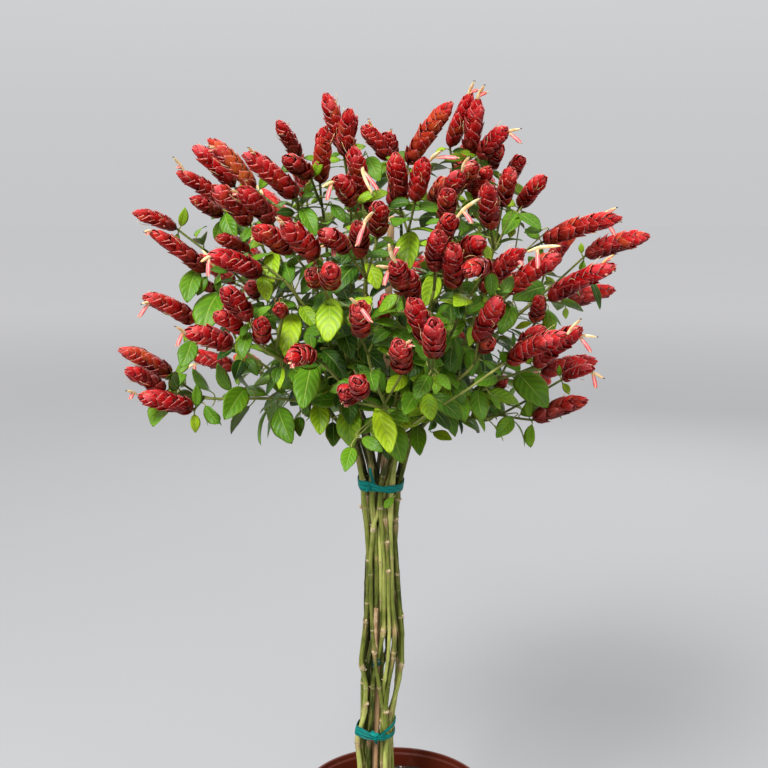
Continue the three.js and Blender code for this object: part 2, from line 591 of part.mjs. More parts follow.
// A leaf and its stalk as one thin folded body, split alike on its upper and lower faces.
function makeBlade(root, { base, tip, facing }, swell = 0) {
  const frameAlong = (along) => {
    const beside = new THREE.Vector3().crossVectors(along, facing).normalize();
    return { beside, face: new THREE.Vector3().crossVectors(beside, along).normalize() };
  };
  const along = towards(base, tip);
  const blade = frameAlong(along);
  const half = BLADE.width * base.distanceTo(tip) + swell;
  const thick = (BLADE.thickness + swell) / 2;
  const stalked = root.distanceTo(base) > 6;
  const elbow = stalked
    ? frameAlong(towards(root, base).multiplyScalar(1.5).add(along).normalize()) : blade;
  const stalkHalf = BLADE.stalk + swell;
  const rows = [{ centre: root, frame: elbow, half: stalkHalf, sides: [-1, 1] }];
  if (stalked) rows.push({ centre: base, frame: elbow, half: stalkHalf, sides: [-1, 1] });
  const bladeRow = (part, width, sides) => ({
    centre: base.clone().lerp(tip, part).addScaledVector(blade.face, 0.16 * half * part),
    frame: blade, half: width * half, sides,
  });
  rows.push(bladeRow(0.38, 1, [-1, 0, 1]), bladeRow(0.74, 0.64, [-1, 1]));
  rows.push({ centre: tip, frame: blade, half: 0, sides: [0] });

  const onFace = (side) => rows.flatMap(({ centre, frame, half: reach, sides }) => sides.map((across) => (
    centre.clone().addScaledVector(frame.beside, across * reach).addScaledVector(frame.face,
      side * thick + (sides.length === 3 ? Math.abs(across) * BLADE.fold * reach : 0)))));
  const starts = rows.map((_, k) => rows.slice(0, k).flatMap(({ sides }) => sides).length);
  const upper = rows.slice(1).flatMap(({ sides }, k) => {
    const [a, b] = [starts[k], starts[k + 1]];
    const across = rows[k].sides.length;
    if (sides.length === 1) return [[a, a + 1, b]];
    if (sides.length === 3) return [[a, a + 1, b + 1], [a, b + 1, b], [a + 1, b + 2, b + 1]];
    if (across === 3) return [[a, a + 1, b], [a + 1, b + 1, b], [a + 1, a + 2, b + 1]];
    return [[a, a + 1, b + 1], [a, b + 1, b]];
  });
  const right = rows.map(({ sides }, k) => starts[k] + sides.length - 1);
  const rim = [...right, ...starts.slice(0, -1).reverse()];
  const points = [...onFace(1), ...onFace(-1)];
  const count = points.length / 2;
  const lower = upper.map(([a, b, c]) => [count + a, count + c, count + b]);
  const walls = rim.flatMap((p, k) => {
    const q = rim[(k + 1) % rim.length];
    return [[q, p, count + p], [q, count + p, count + q]];
  });
  const geometry = new THREE.BufferGeometry()
    .setAttribute("position",
      new THREE.Float32BufferAttribute(points.flatMap((point) => point.toArray()), 3))
    .setIndex([...upper, ...lower, ...walls].flat());
  return solid(geometry);
}

// A leaf of the front turns its face up and towards the light, each a little differently.
function facingOf(base, random) {
  const out = base.clone().sub(HEAD_MIDDLE).setZ(0).normalize();
  return towards(base, EYE).multiplyScalar(0.75).addScaledVector(UP, 0.5).addScaledVector(out, 0.3)
    .add(new THREE.Vector3(random() - 0.5, random() - 0.5, random() - 0.5).multiplyScalar(0.7))
    .normalize();
}

// The depths at which a marked leaf may sit, the nearest to a twig of the head's front first.
function markedLeafOptions([baseU, baseV, tipU, tipV], seed, perches) {
  const front = frontDepth(baseU, baseV);
  const facing = facingOf(place(baseU, baseV, front), seeded(seed));
  const options = Array.from({ length: LEAF_DEPTHS.count }, (_, k) => {
    const depth = front + k * LEAF_DEPTHS.step;
    const base = place(baseU, baseV, depth);
    const flat = base.distanceTo(place(tipU, tipV, depth));
    const tip = placeFrom(base, tipU, tipV, flat * FORESHORTENED);
    const perch = perches.reduce((best, next) => (
      next.point.distanceToSquared(base) < best.point.distanceToSquared(base) ? next : best));
    const cost = perch.point.distanceTo(base) + LEAF_DEPTHS.cost * k * LEAF_DEPTHS.step;
    return { base, tip, facing, perch, cost };
  });
  return options.sort((one, other) => one.cost - other.cost);
}

// A pair of leaves stands opposite on its twig; each may swing round the twig to stay clear.
function farLeafOptions(perch, side, seed) {
  const random = seeded(seed);
  const start = random() * Math.PI;
  const length = FAR_LEAF.length * (0.8 + 0.4 * random());
  const beside = new THREE.Vector3().crossVectors(perch.along, UP).normalize();
  const over = new THREE.Vector3().crossVectors(beside, perch.along);
  return Array.from({ length: FAR_LEAF.attempts }, (_, attempt) => {
    const angle = start + side * Math.PI + attempt * FAR_LEAF.turn;
    const out = perch.along.clone().multiplyScalar(0.55)
      .addScaledVector(beside, Math.cos(angle)).addScaledVector(over, Math.sin(angle)).normalize();
    const base = perch.point.clone().addScaledVector(out, FAR_LEAF.stalk);
    const tip = base.clone().addScaledVector(out, length)
      .addScaledVector(UP, -FAR_LEAF.droop * length);
    const facing = new THREE.Vector3(perch.along.x, perch.along.y, 0).multiplyScalar(0.5).add(UP)
      .normalize();
    return { base, tip, facing, perch };
  });
}

// ---------------------------------------------------------------- the plant
const LOOSE = 0.4; // room kept round a leaf while it looks for its place
const BRANCH_ROOM = 0.3;
const CANE_ROOM = 0.15; // between the canes and the tape round them
const PERCH_STEP = 8; // between the places along a branch where a leaf may grow

const soilRoots = [
  ...caneLines.map((line) => ({ at: line[0], radius: CANE.radius, sides: CANE.sides })),
  { at: stakeLine()[0], radius: STAKE.radius, sides: STAKE.sides },
];
const pot = put("pot", makePot());
const soil = put("soil", makeSoil(soilRoots));
const stake = put("stake",
  rod(stakeLine(), [STAKE.radius, STAKE.radius, STAKE.radius], STAKE.sides, ACROSS));

const tapedLines = [...caneLines, stakeLine()];
const tapedRadii = [...CANES.map(() => CANE.radius + CANE_ROOM), STAKE.radius];
const tieTop = put("tie_top", makeTape(tapedLines, tapedRadii, TIES.top));
const tieLow = put("tie_low", makeTape(tapedLines, tapedRadii, TIES.low));
const tieMiddle = put("tie_mid", makeTape([caneLines[1]], [CANE.radius], TIES.middle));

const sprays = makeSprays();
const stems = dealSprays(sprays).map(makeStem);
stems.forEach(({ node, cane }) => put(node, cane));

// The places along a branch where a leaf may grow.
function perchesOf(points, stem, spray) {
  return points.slice(0, -1).flatMap((point, k) => {
    const next = points[k + 1];
    const steps = Math.max(1, Math.round(point.distanceTo(next) / PERCH_STEP));
    return Array.from({ length: steps }, (_, step) => step / steps)
      .filter((part) => k > 0 || part > 0)
      .map((part) => ({
        stem, spray, point: point.clone().lerp(next, part), along: towards(point, next),
      }));
  });
}

const branchRadii = (swell) => Array.from({ length: BRANCH_RINGS + 1 }, (_, k) => (
  swell + THREE.MathUtils.lerp(BRANCH.radius, BRANCH.endRadius, k / BRANCH_RINGS)));

const perches = stems.flatMap((stem) => {
  stem.parts = [stem.cane];
  return stem.branches.flatMap(({ spray, start, caneAlong }) => {
    const reference = new THREE.Vector3().crossVectors(towards(start, spray.fork), UP).normalize();
    const branch = (points, swell) => rod(points, branchRadii(swell), BRANCH.sides, reference);
    const points = branchLines(start, caneAlong, spray)
      .find((line) => isClear(branch(line, BRANCH_ROOM), stem.node));
    if (!points) throw new Error(`${stem.node} has no clear way to ${spray.node}`);
    stem.parts.push(put(stem.node, branch(points, 0)));
    return perchesOf(points, stem, spray);
  });
});

// Sets a leaf at the first of its options that is clear of all other pieces, and if it can be,
// also of its own stem's other leaves and twigs.
function setLeaf(options) {
  const clear = options.filter(({ perch, ...leaf }) => (
    isClear(makeBlade(perch.point, leaf, LOOSE), perch.stem.node)));
  const free = clear.find(({ perch, ...leaf }) => {
    const start = leaf.base.clone().lerp(leaf.tip, 0.12);
    return isClear(makeBlade(start, { ...leaf, base: start }, LOOSE / 2), "");
  });
  const option = free ?? clear[0];
  if (!option) return;
  const { stem, point } = option.perch;
  stem.parts.push(put(stem.node, makeBlade(point, option)));
}

LEAVES.forEach((marks, index) => setLeaf(markedLeafOptions(marks, 500 + index, perches)));
stems.forEach((stem, s) => stem.branches.forEach(({ spray }, k) => {
  if (spray.fork.y <= FAR_SIDE) return;
  const mine = perches.filter((perch) => perch.stem === stem && perch.spray === spray);
  const perch = mine[Math.floor(FAR_LEAF.at * mine.length)];
  [0, 1].forEach((side) => setLeaf(farLeafOptions(perch, side, 3000 + 100 * s + 10 * k)));
}));

const group = new THREE.Group();
const finish = {
  pot: { color: 0x7c2f1e, roughness: 0.45 },
  soil: { color: 0x2b1d15, roughness: 0.95 },
  stake: { color: 0xa9825a, roughness: 0.7 },
  tape: { color: 0x0a7f7a, roughness: 0.35 },
  green: { color: 0x5f8f1f, roughness: 0.55 },
  red: { color: 0xb0141c, roughness: 0.6 },
};

function show(name, body, { color, roughness }) {
  const { vertProperties, triVerts } = body.getMesh();
  const geometry = new THREE.BufferGeometry()
    .setAttribute("position", new THREE.BufferAttribute(vertProperties, 3))
    .setIndex(new THREE.BufferAttribute(triVerts, 1));
  const mesh = new THREE.Mesh(geometry,
    new THREE.MeshStandardMaterial({ color, roughness, metalness: 0 }));
  mesh.name = name;
  group.add(mesh);
}

show("pot", pot, finish.pot);
show("soil", soil, finish.soil);
show("stake", stake, finish.stake);
show("tie_top", tieTop, finish.tape);
show("tie_mid", tieMiddle, finish.tape);
show("tie_low", tieLow, finish.tape);
sprays.forEach(({ node, body }) => show(node, body, finish.red));
stems.forEach(({ node, parts }) => show(node, fused(parts), finish.green));

export default group;
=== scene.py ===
# A potted shrimp plant grown as a small standard tree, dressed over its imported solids.
# Lengths are in millimetres until a piece is made. +Z is up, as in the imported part.
import math

import bpy
import numpy as np
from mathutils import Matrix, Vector
from mathutils.kdtree import KDTree


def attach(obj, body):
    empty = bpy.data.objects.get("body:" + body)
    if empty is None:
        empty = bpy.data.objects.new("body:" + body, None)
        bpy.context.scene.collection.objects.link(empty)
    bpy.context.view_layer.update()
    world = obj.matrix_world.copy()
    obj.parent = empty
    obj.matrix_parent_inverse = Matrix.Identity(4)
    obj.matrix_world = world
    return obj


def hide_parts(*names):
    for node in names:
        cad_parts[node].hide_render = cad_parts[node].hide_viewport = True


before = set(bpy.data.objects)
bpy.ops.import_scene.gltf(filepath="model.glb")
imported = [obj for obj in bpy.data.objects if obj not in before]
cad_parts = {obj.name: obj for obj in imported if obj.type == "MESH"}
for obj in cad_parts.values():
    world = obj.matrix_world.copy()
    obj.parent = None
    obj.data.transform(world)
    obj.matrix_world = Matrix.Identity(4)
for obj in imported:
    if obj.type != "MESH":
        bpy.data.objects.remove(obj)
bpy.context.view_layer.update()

UP = np.array([0.0, 0.0, 1.0])
ACROSS = np.array([1.0, 0.0, 0.0])


def vec(*xyz):
    return np.array(xyz, float)


def unit(v):
    return v / np.linalg.norm(v)


def towards(start, end):
    return unit(end - start)


# The level way beside another way, and the way over both.
def sides_of(way):
    beside = unit(np.cross(way, UP))
    return beside, np.cross(beside, way)


# A hump of height 1 along a line.
def hump(along, middle, width):
    return np.exp(-((along - middle) / width) ** 2)


# ---------------------------------------------------------------- the part's own dimensions
GAP = 0.35
POT = {"rim": 105, "base": 74, "height": 185, "wall": 2.2, "floor": 3, "lip": 5, "lip_depth": 20}
DRAIN = {"count": 6, "radius": 5, "ring": 46}
SOIL_LEVEL = 165
SOIL_CROWN = 3
SOIL_TOP = SOIL_LEVEL + SOIL_CROWN + 2
FOOT = 105
CANE = {"radius": 3.4, "end_radius": 2.4}
STAKE = {"radius": 3.9, "top": 828, "low": (375.5, 750), "high": (384, 460)}
BRANCH = {"radius": 2.1, "end_radius": 1.7}
STALK_RADIUS = 1.6
SPIKE = {"radius": 11.5, "full_length": 120, "arch": 0.05}
BLADE = {"thickness": 0.8, "width": 0.29}
# Each tie: its height, and how far it drops at the front and rises at the left.
TIES = {
    "tie_top": {"height": 543, "front": 2, "left": 2.5},
    "tie_low": {"height": 261, "front": 1, "left": 4},
    "tie_mid": {"height": 343, "front": 0, "left": 0},
}

# The head is set out from one standing point, with marks on an upright sheet (see place).
EYE = vec(-12, -1155, 834)
EYE_TILT = math.radians(9)
SHEET_DISTANCE = 1100
SHEET_SIDE = 768
AHEAD = vec(0, math.cos(EYE_TILT), -math.sin(EYE_TILT))
DOWN = vec(0, -math.sin(EYE_TILT), -math.cos(EYE_TILT))

# The heights of the marks up each cane, and the depth of one layer of canes at each of them.
CANE_MARKS = [765, 740, 712, 685, 660, 630, 600, 560, 528, 505, 484, 462, 440]
LAYER_SPACING = [9, 9, 8.5, 10, 11, 11, 9.5, 8, 8, 10, 11, 13, 16]
# Each cane: its layer (-1 is the front one), how many of its lowest marks lie in the middle layer
# instead, and its marks across.
CANES = [
    (-1, 0, [360, 357, 365, 366, 361, 365, 368, 369, 367, 364, 363, 359, 352]),
    (-1, 0, [368, 369, 372, 373, 377.2, 384, 384.5, 384, 382, 380, 381, 386, 388]),
    (-1, 0, [385.5, 387, 385, 388, 393, 395, 392, 391, 390, 391, 392, 395, 398]),
    (-1, 4, [367, 366, 366, 367, 368.5, 374.5, 376.5, 376.5, 374.5, 372, 372, 371, 366]),
    (0, 0, [388, 389, 390, 398, 402, 402, 399, 396, 394, 397, 399, 405, 411]),
    (1, 0, [363, 364, 369, 370, 366, 369, 371, 371, 370, 367, 367, 363, 357]),
    (1, 0, [371.5, 373, 377, 379, 379, 378, 379, 379, 378, 376, 377, 374, 370]),
    (1, 0, [380, 381, 384.5, 388, 388, 387, 387, 387, 386, 386, 388, 390, 392]),
    (1, 0, [388, 389, 392, 397, 398, 396, 395, 394.5, 393.5, 396, 398, 402, 406]),
]

# Sprays: the fork with its depth, then each spike as
# (tip u, tip v, base u, base v, depth of the base, length of the spike).
SPRAYS = [
    [(222, 262, -15), (133, 213, 177, 229, -5, 52), (150, 232, 207, 272, -30, 72)],
    [(250, 224, 45), (177, 172, 222, 203, 40, 60), (191, 199, 222, 216, 15, 45),
     (193, 146, 235, 187, 50, 62)],
    [(276, 248, -75), (213, 186, 250, 225, -60, 58), (238, 188, 273, 224, -85, 56)],
    [(300, 222, -25), (208, 139, 255, 190, 5, 70), (243, 154, 297, 198, -45, 74)],
    [(284, 280, -105), (216, 238, 248, 251, -70, 44), (208, 255, 262, 275, -105, 62)],
    [(322, 206, -20), (277, 121, 299, 158, 10, 50), (283, 158, 311, 178, -40, 45),
     (325, 127, 320, 184, -25, 62)],
    [(350, 194, 25), (325, 93, 343, 150, 20, 64), (350, 109, 345, 158, 0, 56)],
    [(366, 230, -85), (353, 147, 362, 200, -70, 62), (337, 178, 352, 205, -100, 52),
     (356, 182, 368, 208, -50, 44)],
    [(400, 192, 50), (362, 126, 390, 160, 45, 52), (386, 134, 392, 160, 75, 48),
     (452, 102, 408, 165, 30, 84)],
    [(408, 232, -70), (395, 153, 400, 207, -50, 60), (425, 158, 415, 202, -75, 52)],
    [(366, 278, -145), (378, 203, 378, 236, -110, 48), (358, 223, 361, 256, -165, 56),
     (320, 233, 347, 250, -150, 48)],
    [(456, 184, 65), (472, 93, 450, 148, 60, 66), (478, 98, 470, 157, 45, 66)],
    [(488, 194, 60), (507, 128, 480, 158, 35, 52), (500, 147, 490, 168, 65, 44),
     (522, 157, 510, 180, 75, 46)],
    [(444, 232, -75), (475, 163, 462, 188, -40, 46), (462, 172, 442, 205, -60, 50),
     (448, 180, 432, 203, -30, 44), (448, 190, 446, 220, -95, 50)],
    [(494, 248, -55), (512, 168, 502, 207, -25, 52), (545, 177, 520, 207, -10, 52),
     (487, 184, 491, 230, -95, 58), (490, 168, 470, 200, -40, 50)],
    [(518, 254, -15), (622, 218, 543, 242, -20, 88)],
    [(536, 300, -15), (650, 236, 585, 256, 25, 72), (616, 266, 548, 300, -45, 84)],
    [(490, 312, -105), (560, 256, 510, 290, -75, 66), (524, 250, 482, 292, -135, 72),
     (515, 276, 512, 292, -50, 40)],
    [(462, 306, -150), (465, 272, 488, 268, -170, 52), (484, 242, 458, 258, -140, 46),
     (458, 252, 461, 278, -110, 44), (452, 244, 453, 288, -175, 58)],
    [(434, 290, -165), (452, 217, 440, 245, -150, 52), (438, 232, 435, 270, -180, 56)],
    [(512, 354, -15), (540, 297, 536, 322, 0, 42), (545, 329, 520, 345, -20, 42)],
    [(474, 364, -130), (500, 298, 478, 342, -150, 60), (490, 342, 483, 350, -95, 36)],
    [(498, 380, -95), (566, 335, 508, 362, -115, 78), (582, 328, 535, 366, -70, 78)],
    [(500, 415, -40), (594, 368, 563, 379, -40, 48), (588, 400, 533, 420, -50, 64),
     (504, 378, 498, 392, -20, 38)],
    [(324, 290, -150), (253, 229, 292, 252, -120, 58), (282, 225, 316, 258, -170, 60),
     (330, 268, 331, 287, -195, 48), (310, 273, 318, 285, -150, 34)],
    [(368, 354, -175), (360, 304, 361, 336, -205, 56), (388, 297, 384, 318, -140, 42)],
    [(408, 322, -165), (395, 263, 402, 292, -195, 58), (405, 273, 413, 300, -180, 56)],
    [(430, 378, -170), (410, 299, 428, 345, -200, 62), (434, 320, 434, 358, -215, 56)],
    [(382, 408, -170), (398, 343, 403, 372, -205, 56), (356, 381, 362, 397, -205, 50),
     (345, 391, 350, 400, -175, 40)],
    [(324, 364, -140), (288, 361, 312, 355, -165, 48)],
    [(276, 350, -95), (262, 320, 262, 343, -110, 46), (250, 286, 256, 296, -60, 40),
     (278, 308, 283, 316, -120, 36)],
    [(240, 348, -35), (143, 296, 195, 322, -30, 64), (184, 333, 232, 346, -75, 60),
     (200, 287, 215, 290, 20, 40)],
    [(258, 344, -110), (222, 289, 250, 320, -120, 54), (214, 315, 244, 332, -100, 46)],
    [(204, 398, -35), (119, 349, 172, 376, -25, 66), (125, 370, 165, 391, -50, 50),
     (138, 397, 193, 410, -45, 62)],
]

# Leaves that face the eye: (base u, base v, tip u, tip v).
LEAVES = [
    (330, 297, 327, 343), (302, 306, 318, 330), (292, 313, 285, 358), (275, 250, 273, 284),
    (262, 275, 268, 302), (293, 267, 282, 290), (410, 231, 408, 272), (438, 275, 424, 307),
    (376, 407, 390, 454), (395, 396, 378, 410), (362, 438, 383, 452), (418, 425, 420, 456),
    (433, 432, 452, 440), (352, 447, 345, 472), (352, 397, 350, 425), (350, 405, 352, 448),
    (318, 402, 320, 435), (333, 422, 333, 447), (278, 407, 292, 444), (300, 417, 300, 437),
    (312, 362, 302, 410), (280, 367, 275, 384), (245, 358, 258, 376), (250, 332, 243, 360),
    (242, 360, 235, 380), (245, 388, 224, 420), (170, 395, 153, 427), (192, 340, 181, 368),
    (220, 292, 203, 335), (198, 268, 187, 303), (232, 350, 217, 360), (225, 213, 237, 240),
    (252, 228, 242, 242), (302, 207, 316, 237), (295, 213, 276, 213), (332, 205, 345, 223),
    (368, 157, 380, 182), (357, 252, 340, 265), (366, 263, 378, 290), (492, 228, 494, 252),
    (518, 212, 503, 235), (519, 214, 541, 230), (542, 230, 524, 233), (548, 310, 553, 335),
    (478, 290, 456, 288), (470, 327, 469, 347), (470, 350, 472, 377), (478, 389, 483, 421),
    (518, 373, 548, 408), (513, 418, 496, 438), (452, 350, 450, 372), (435, 376, 435, 395),
    (405, 385, 408, 402), (407, 376, 386, 393), (360, 347, 386, 369), (340, 326, 352, 360),
    (322, 350, 345, 380), (320, 270, 302, 295), (357, 265, 335, 295), (588, 277, 600, 310),
    (512, 305, 500, 335), (545, 287, 512, 300), (300, 350, 262, 352), (392, 330, 372, 344),
    (440, 330, 446, 352), (420, 356, 408, 378), (455, 384, 462, 405), (500, 352, 520, 372),
]
# The yellow-green ones among them, and the dark green ones, whose dark tint is painted shade; the rest
# are mid green.
LIME_LEAVES = {0, 1, 2, 3, 4, 6, 7, 8, 12, 16, 38, 45, 53}
DARK_SHADED_LEAVES = {14, 17, 19, 21, 22, 24, 30, 34, 37, 42, 50, 54, 55, 56, 58, 59, 63, 64, 65, 66}
# The least and greatest girth of a leaf, as shares of the usual width.
LEAF_GIRTH = (0.80, 1.04)
NARROW_LEAVES = {59: (0.36, 0.40), 8: (0.70, 0.74), 45: (0.75, 0.80)}


def seeded(seed):
    state = seed & 0xFFFFFFFF

    def random():
        nonlocal state
        state = (state + 0x6D2B79F5) & 0xFFFFFFFF
        mixed = ((state ^ (state >> 15)) * (state | 1)) & 0xFFFFFFFF
        mixed ^= (mixed + (mixed ^ (mixed >> 7)) * (mixed | 61)) & 0xFFFFFFFF
        return (mixed ^ (mixed >> 14)) / 4294967296

    return random


def sight_line(u, v):
    return (vec(u - SHEET_SIDE / 2, 0, 0) + SHEET_DISTANCE * AHEAD
            + (v - SHEET_SIDE / 2) * DOWN)


# The point that a mark stands for at a depth, which is its Y.
def place(u, v, depth):
    ray = sight_line(u, v)
    return EYE + ray * (depth - EYE[1]) / ray[1]


# The point on a mark's sight line that lies `reach` from `start`, on the side nearer the eye.
def place_from(start, u, v, reach):
    ray = unit(sight_line(u, v))
    along = (start - EYE) @ ray
    aside = (start - EYE) @ (start - EYE) - along * along
    return EYE + ray * (along - math.sqrt(max(0, reach * reach - aside)))


def seen_at(points):
    offset = np.asarray(points) - EYE
    scale = SHEET_DISTANCE / (offset @ AHEAD)
    return SHEET_SIDE / 2 + np.stack([offset[..., 0], offset @ DOWN], -1) * scale[..., None]


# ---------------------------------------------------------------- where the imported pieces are
# The layout above leaves each piece some room to slide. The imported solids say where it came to
# rest: a piece is where its corners are.
MATCH = 0.06


def corner_tree(node):
    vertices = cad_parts[node].data.vertices
    tree = KDTree(len(vertices))
    for index, vertex in enumerate(vertices):
        tree.insert(vertex.co * 1000, index)
    tree.balance()
    return tree


trees = {node: corner_tree(node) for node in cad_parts}
lost = []


def off(node, point):
    return trees[node].find(Vector(point))[2]


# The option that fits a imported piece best. Its name goes on the list of the lost if it misses.
def nearest(name, options, miss):
    misses = [miss(option) for option in options]
    near = int(np.argmin(misses))
    if misses[near] > MATCH:
        lost.append(name)
    return options[near]


SPRAY_SHIFTS = [0, 6, -6, 12, -12, 18, -18, 24, -24, 30, -30, 36, -36, 42, -42]
SPIKE_SHIFTS = [0, 6, -6, 12, -12, 18, -18]


def marked_spray(node, marks):
    (fork_u, fork_v, fork_depth), *spikes = marks
    best = None
    for shift in SPRAY_SHIFTS:
        fork = place(fork_u, fork_v, fork_depth + shift)
        if off(node, fork) > STALK_RADIUS + 0.2:
            continue
        found = []
        for tip_u, tip_v, base_u, base_v, depth, length in spikes:
            bases = [place(base_u, base_v, depth + shift + slide) for slide in SPIKE_SHIFTS]
            tips = [place_from(base, tip_u, tip_v, length) for base in bases]
            misses = [off(node, tip) for tip in tips]
            near = int(np.argmin(misses))
            found.append((misses[near], bases[near], tips[near]))
        miss = max(item[0] for item in found)
        if best is None or miss < best[0]:
            best = (miss, fork, [(base, tip) for _, base, tip in found])
    if best[0] > MATCH:
        lost.append(node)
    return {"node": node, "fork": best[1], "spikes": best[2], "far": False}


FAR_LEVELS = [
    {"count": 4, "z": 655, "reach": 175, "from": 15, "to": 165},
    {"count": 4, "z": 735, "reach": 180, "from": 8, "to": 172},
    {"count": 3, "z": 815, "reach": 120, "from": 30, "to": 150},
]
FAR_SPIKES = 2
FAR_ATTEMPTS = 30
HEAD_MIDDLE = vec(-12, 0, 640)


def far_option(level, index, attempt):
    random = seeded(1000 * level["z"] + 40 * index + attempt)
    part = (index + 0.5 + 0.3 * (random() - 0.5)) / level["count"]
    azimuth = math.radians(level["from"] + (level["to"] - level["from"]) * part)
    reach = level["reach"] * (0.92 + 0.16 * random())
    fork = vec(HEAD_MIDDLE[0] + reach * math.cos(azimuth), HEAD_MIDDLE[1] + reach * math.sin(azimuth),
               level["z"] + 24 * (random() - 0.5))
    out = towards(HEAD_MIDDLE, fork)
    beside = unit(np.cross(out, UP))
    over = unit(np.cross(beside, out))
    start = random() * 2 * math.pi
    spikes = []
    for spike in range(FAR_SPIKES):
        turn = start + ((spike + 0.3 * random()) / FAR_SPIKES) * 2 * math.pi
        lean = beside * math.cos(turn) + over * math.sin(turn)
        base = fork + unit(out + lean * 0.9) * (30 + 10 * random())
        spikes.append((base, base + unit(out + lean * 0.35 + UP * 0.1) * (50 + 24 * random())))
    return fork, spikes


def far_spray(node, level, index):
    options = [far_option(level, index, attempt) for attempt in range(FAR_ATTEMPTS)]
    fork, spikes = nearest(node, options, lambda option: max(off(node, tip) for _, tip in option[1]))
    return {"node": node, "fork": fork, "spikes": spikes, "far": True}


def cane_line(cane):
    layer, lower, across = cane
    marks = [place(u, v, (0 if index < lower else layer) * LAYER_SPACING[index])
             for index, (u, v) in enumerate(zip(across, CANE_MARKS))]
    foot = vec(marks[0][0], marks[0][1], FOOT)
    return [foot, vec(foot[0], foot[1], SOIL_TOP), *marks]


def azimuth_of(point):
    return math.atan2(point[1] - HEAD_MIDDLE[1], point[0] - HEAD_MIDDLE[0])


# Deals the sprays to the canes in order round the head.
def deal_sprays(sprays):
    canes = sorted(({"index": index, "azimuth": azimuth_of(line[-1])}
                    for index, line in enumerate(cane_lines)), key=lambda cane: cane["azimuth"])
    around = sorted(sprays, key=lambda spray: azimuth_of(spray["fork"]))
    share = len(around) // len(canes)

    def dealt(offset):
        return [{**cane, "sprays": [around[(offset + group * share + k) % len(around)]
                                    for k in range(share)]} for group, cane in enumerate(canes)]

    def cost(deal):
        turns = [azimuth_of(spray["fork"]) - cane["azimuth"]
                 for cane in deal for spray in cane["sprays"]]
        return sum(math.atan2(math.sin(turn), math.cos(turn)) ** 2 for turn in turns)

    return min((dealt(offset) for offset in range(len(around))), key=cost)


BEND_SHIFTS = [0, 9, 18, 27, 36]
BEND_TURNS = 8
BRANCH_RINGS = 3
CROTCH = 0.3
FIRST_BRANCH = 0.3
BRANCH_STRETCH = 0.62
FORK_ROOM = 0.9


def bezier(knots, part):
    a, b, c, d = knots
    rest = 1 - part
    return a * rest ** 3 + 3 * b * rest * rest * part + 3 * c * rest * part * part + d * part ** 3


def branch_knots(start, cane_along, spray):
    fork = spray["fork"]
    ways = [towards(fork, base) for base, _ in spray["spikes"]]
    leaving = unit(sum(ways))
    chord = towards(start, fork)
    arrival = unit(leaving * 0.5 + chord)
    tilt = max(math.sin(math.acos(max(-1, min(1, arrival @ way)))) for way in ways)
    end = fork - arrival * (GAP + FORK_ROOM * STALK_RADIUS * tilt)
    span = np.linalg.norm(end - start)
    beside, over = sides_of(chord)
    for shift in BEND_SHIFTS:
        for turn in range(BEND_TURNS if shift else 1):
            angle = turn / BEND_TURNS * 2 * math.pi
            bow = beside * shift * math.cos(angle) + over * shift * math.sin(angle)
            yield (start, start + cane_along * 0.22 * span + chord * 0.1 * span + bow,
                   end - arrival * 0.32 * span + bow, end)


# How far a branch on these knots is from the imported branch's corners, near its middle.
def branch_miss(node, knots, reference):
    points = [bezier(knots, k / BRANCH_RINGS) for k in range(BRANCH_RINGS + 1)]
    misses = []
    for k in (1, 2):
        along = towards(points[k - 1], points[k + 1])
        across = unit(reference - along * (reference @ along))
        beside = np.cross(along, across)
        radius = BRANCH["radius"] + (BRANCH["end_radius"] - BRANCH["radius"]) * k / BRANCH_RINGS
        for side in range(3):
            angle = side / 3 * 2 * math.pi
            misses.append(off(node, points[k] + across * radius * math.cos(angle)
                              + beside * radius * math.sin(angle)))
    return sorted(misses)[1]


def find_stem(cane):
    node = f"stem_{cane['index'] + 1}"
    line = cane_lines[cane["index"]]
    top = line[-1]
    middle = sum(spray["fork"] for spray in cane["sprays"]) / len(cane["sprays"])
    crotch = top + (middle - top) * CROTCH
    branches = []
    for k, spray in enumerate(cane["sprays"]):
        part = FIRST_BRANCH + BRANCH_STRETCH * (k + 1) / len(cane["sprays"])
        start = top + (crotch - top) * part
        reference = unit(np.cross(towards(start, spray["fork"]), UP))
        ways = list(branch_knots(start, towards(top, crotch), spray))
        knots = nearest(f"{node} to {spray['node']}", ways, lambda way: branch_miss(node, way, reference))
        branches.append({"spray": spray, "knots": knots})
    return {"node": node, "line": [*line, crotch], "branches": branches, "leaves": []}


PERCH_STEP = 8


def perches_of(stem, branch):
    points = [bezier(branch["knots"], k / BRANCH_RINGS) for k in range(BRANCH_RINGS + 1)]
    for k, (point, following) in enumerate(zip(points, points[1:])):
        steps = max(1, math.floor(np.linalg.norm(following - point) / PERCH_STEP + 0.5))
        for step in range(0 if k else 1, steps):
            yield {"stem": stem, "spray": branch["spray"], "along": towards(point, following),
                   "point": point + (following - point) * step / steps}


LEAF_DEPTHS = {"step": 6, "count": 30}
FORESHORTENED = 1.12
FAR_SIDE = -10
FAR_LEAF = {"at": 0.65, "length": 44, "stalk": 9, "droop": 0.2, "attempts": 12, "turn": 0.52}
HEAD_FRONT = {"middle": 680, "above": 285, "below": 150, "across": 292, "deep": 218, "least": 0.02}


def front_depth(u, v):
    x, _, z = place(u, v, 0)
    tall = HEAD_FRONT["above"] if z > HEAD_FRONT["middle"] else HEAD_FRONT["below"]
    inside = (1 - ((x - HEAD_MIDDLE[0]) / HEAD_FRONT["across"]) ** 2
              - ((z - HEAD_FRONT["middle"]) / tall) ** 2)
    return -HEAD_FRONT["deep"] * math.sqrt(max(inside, HEAD_FRONT["least"]))


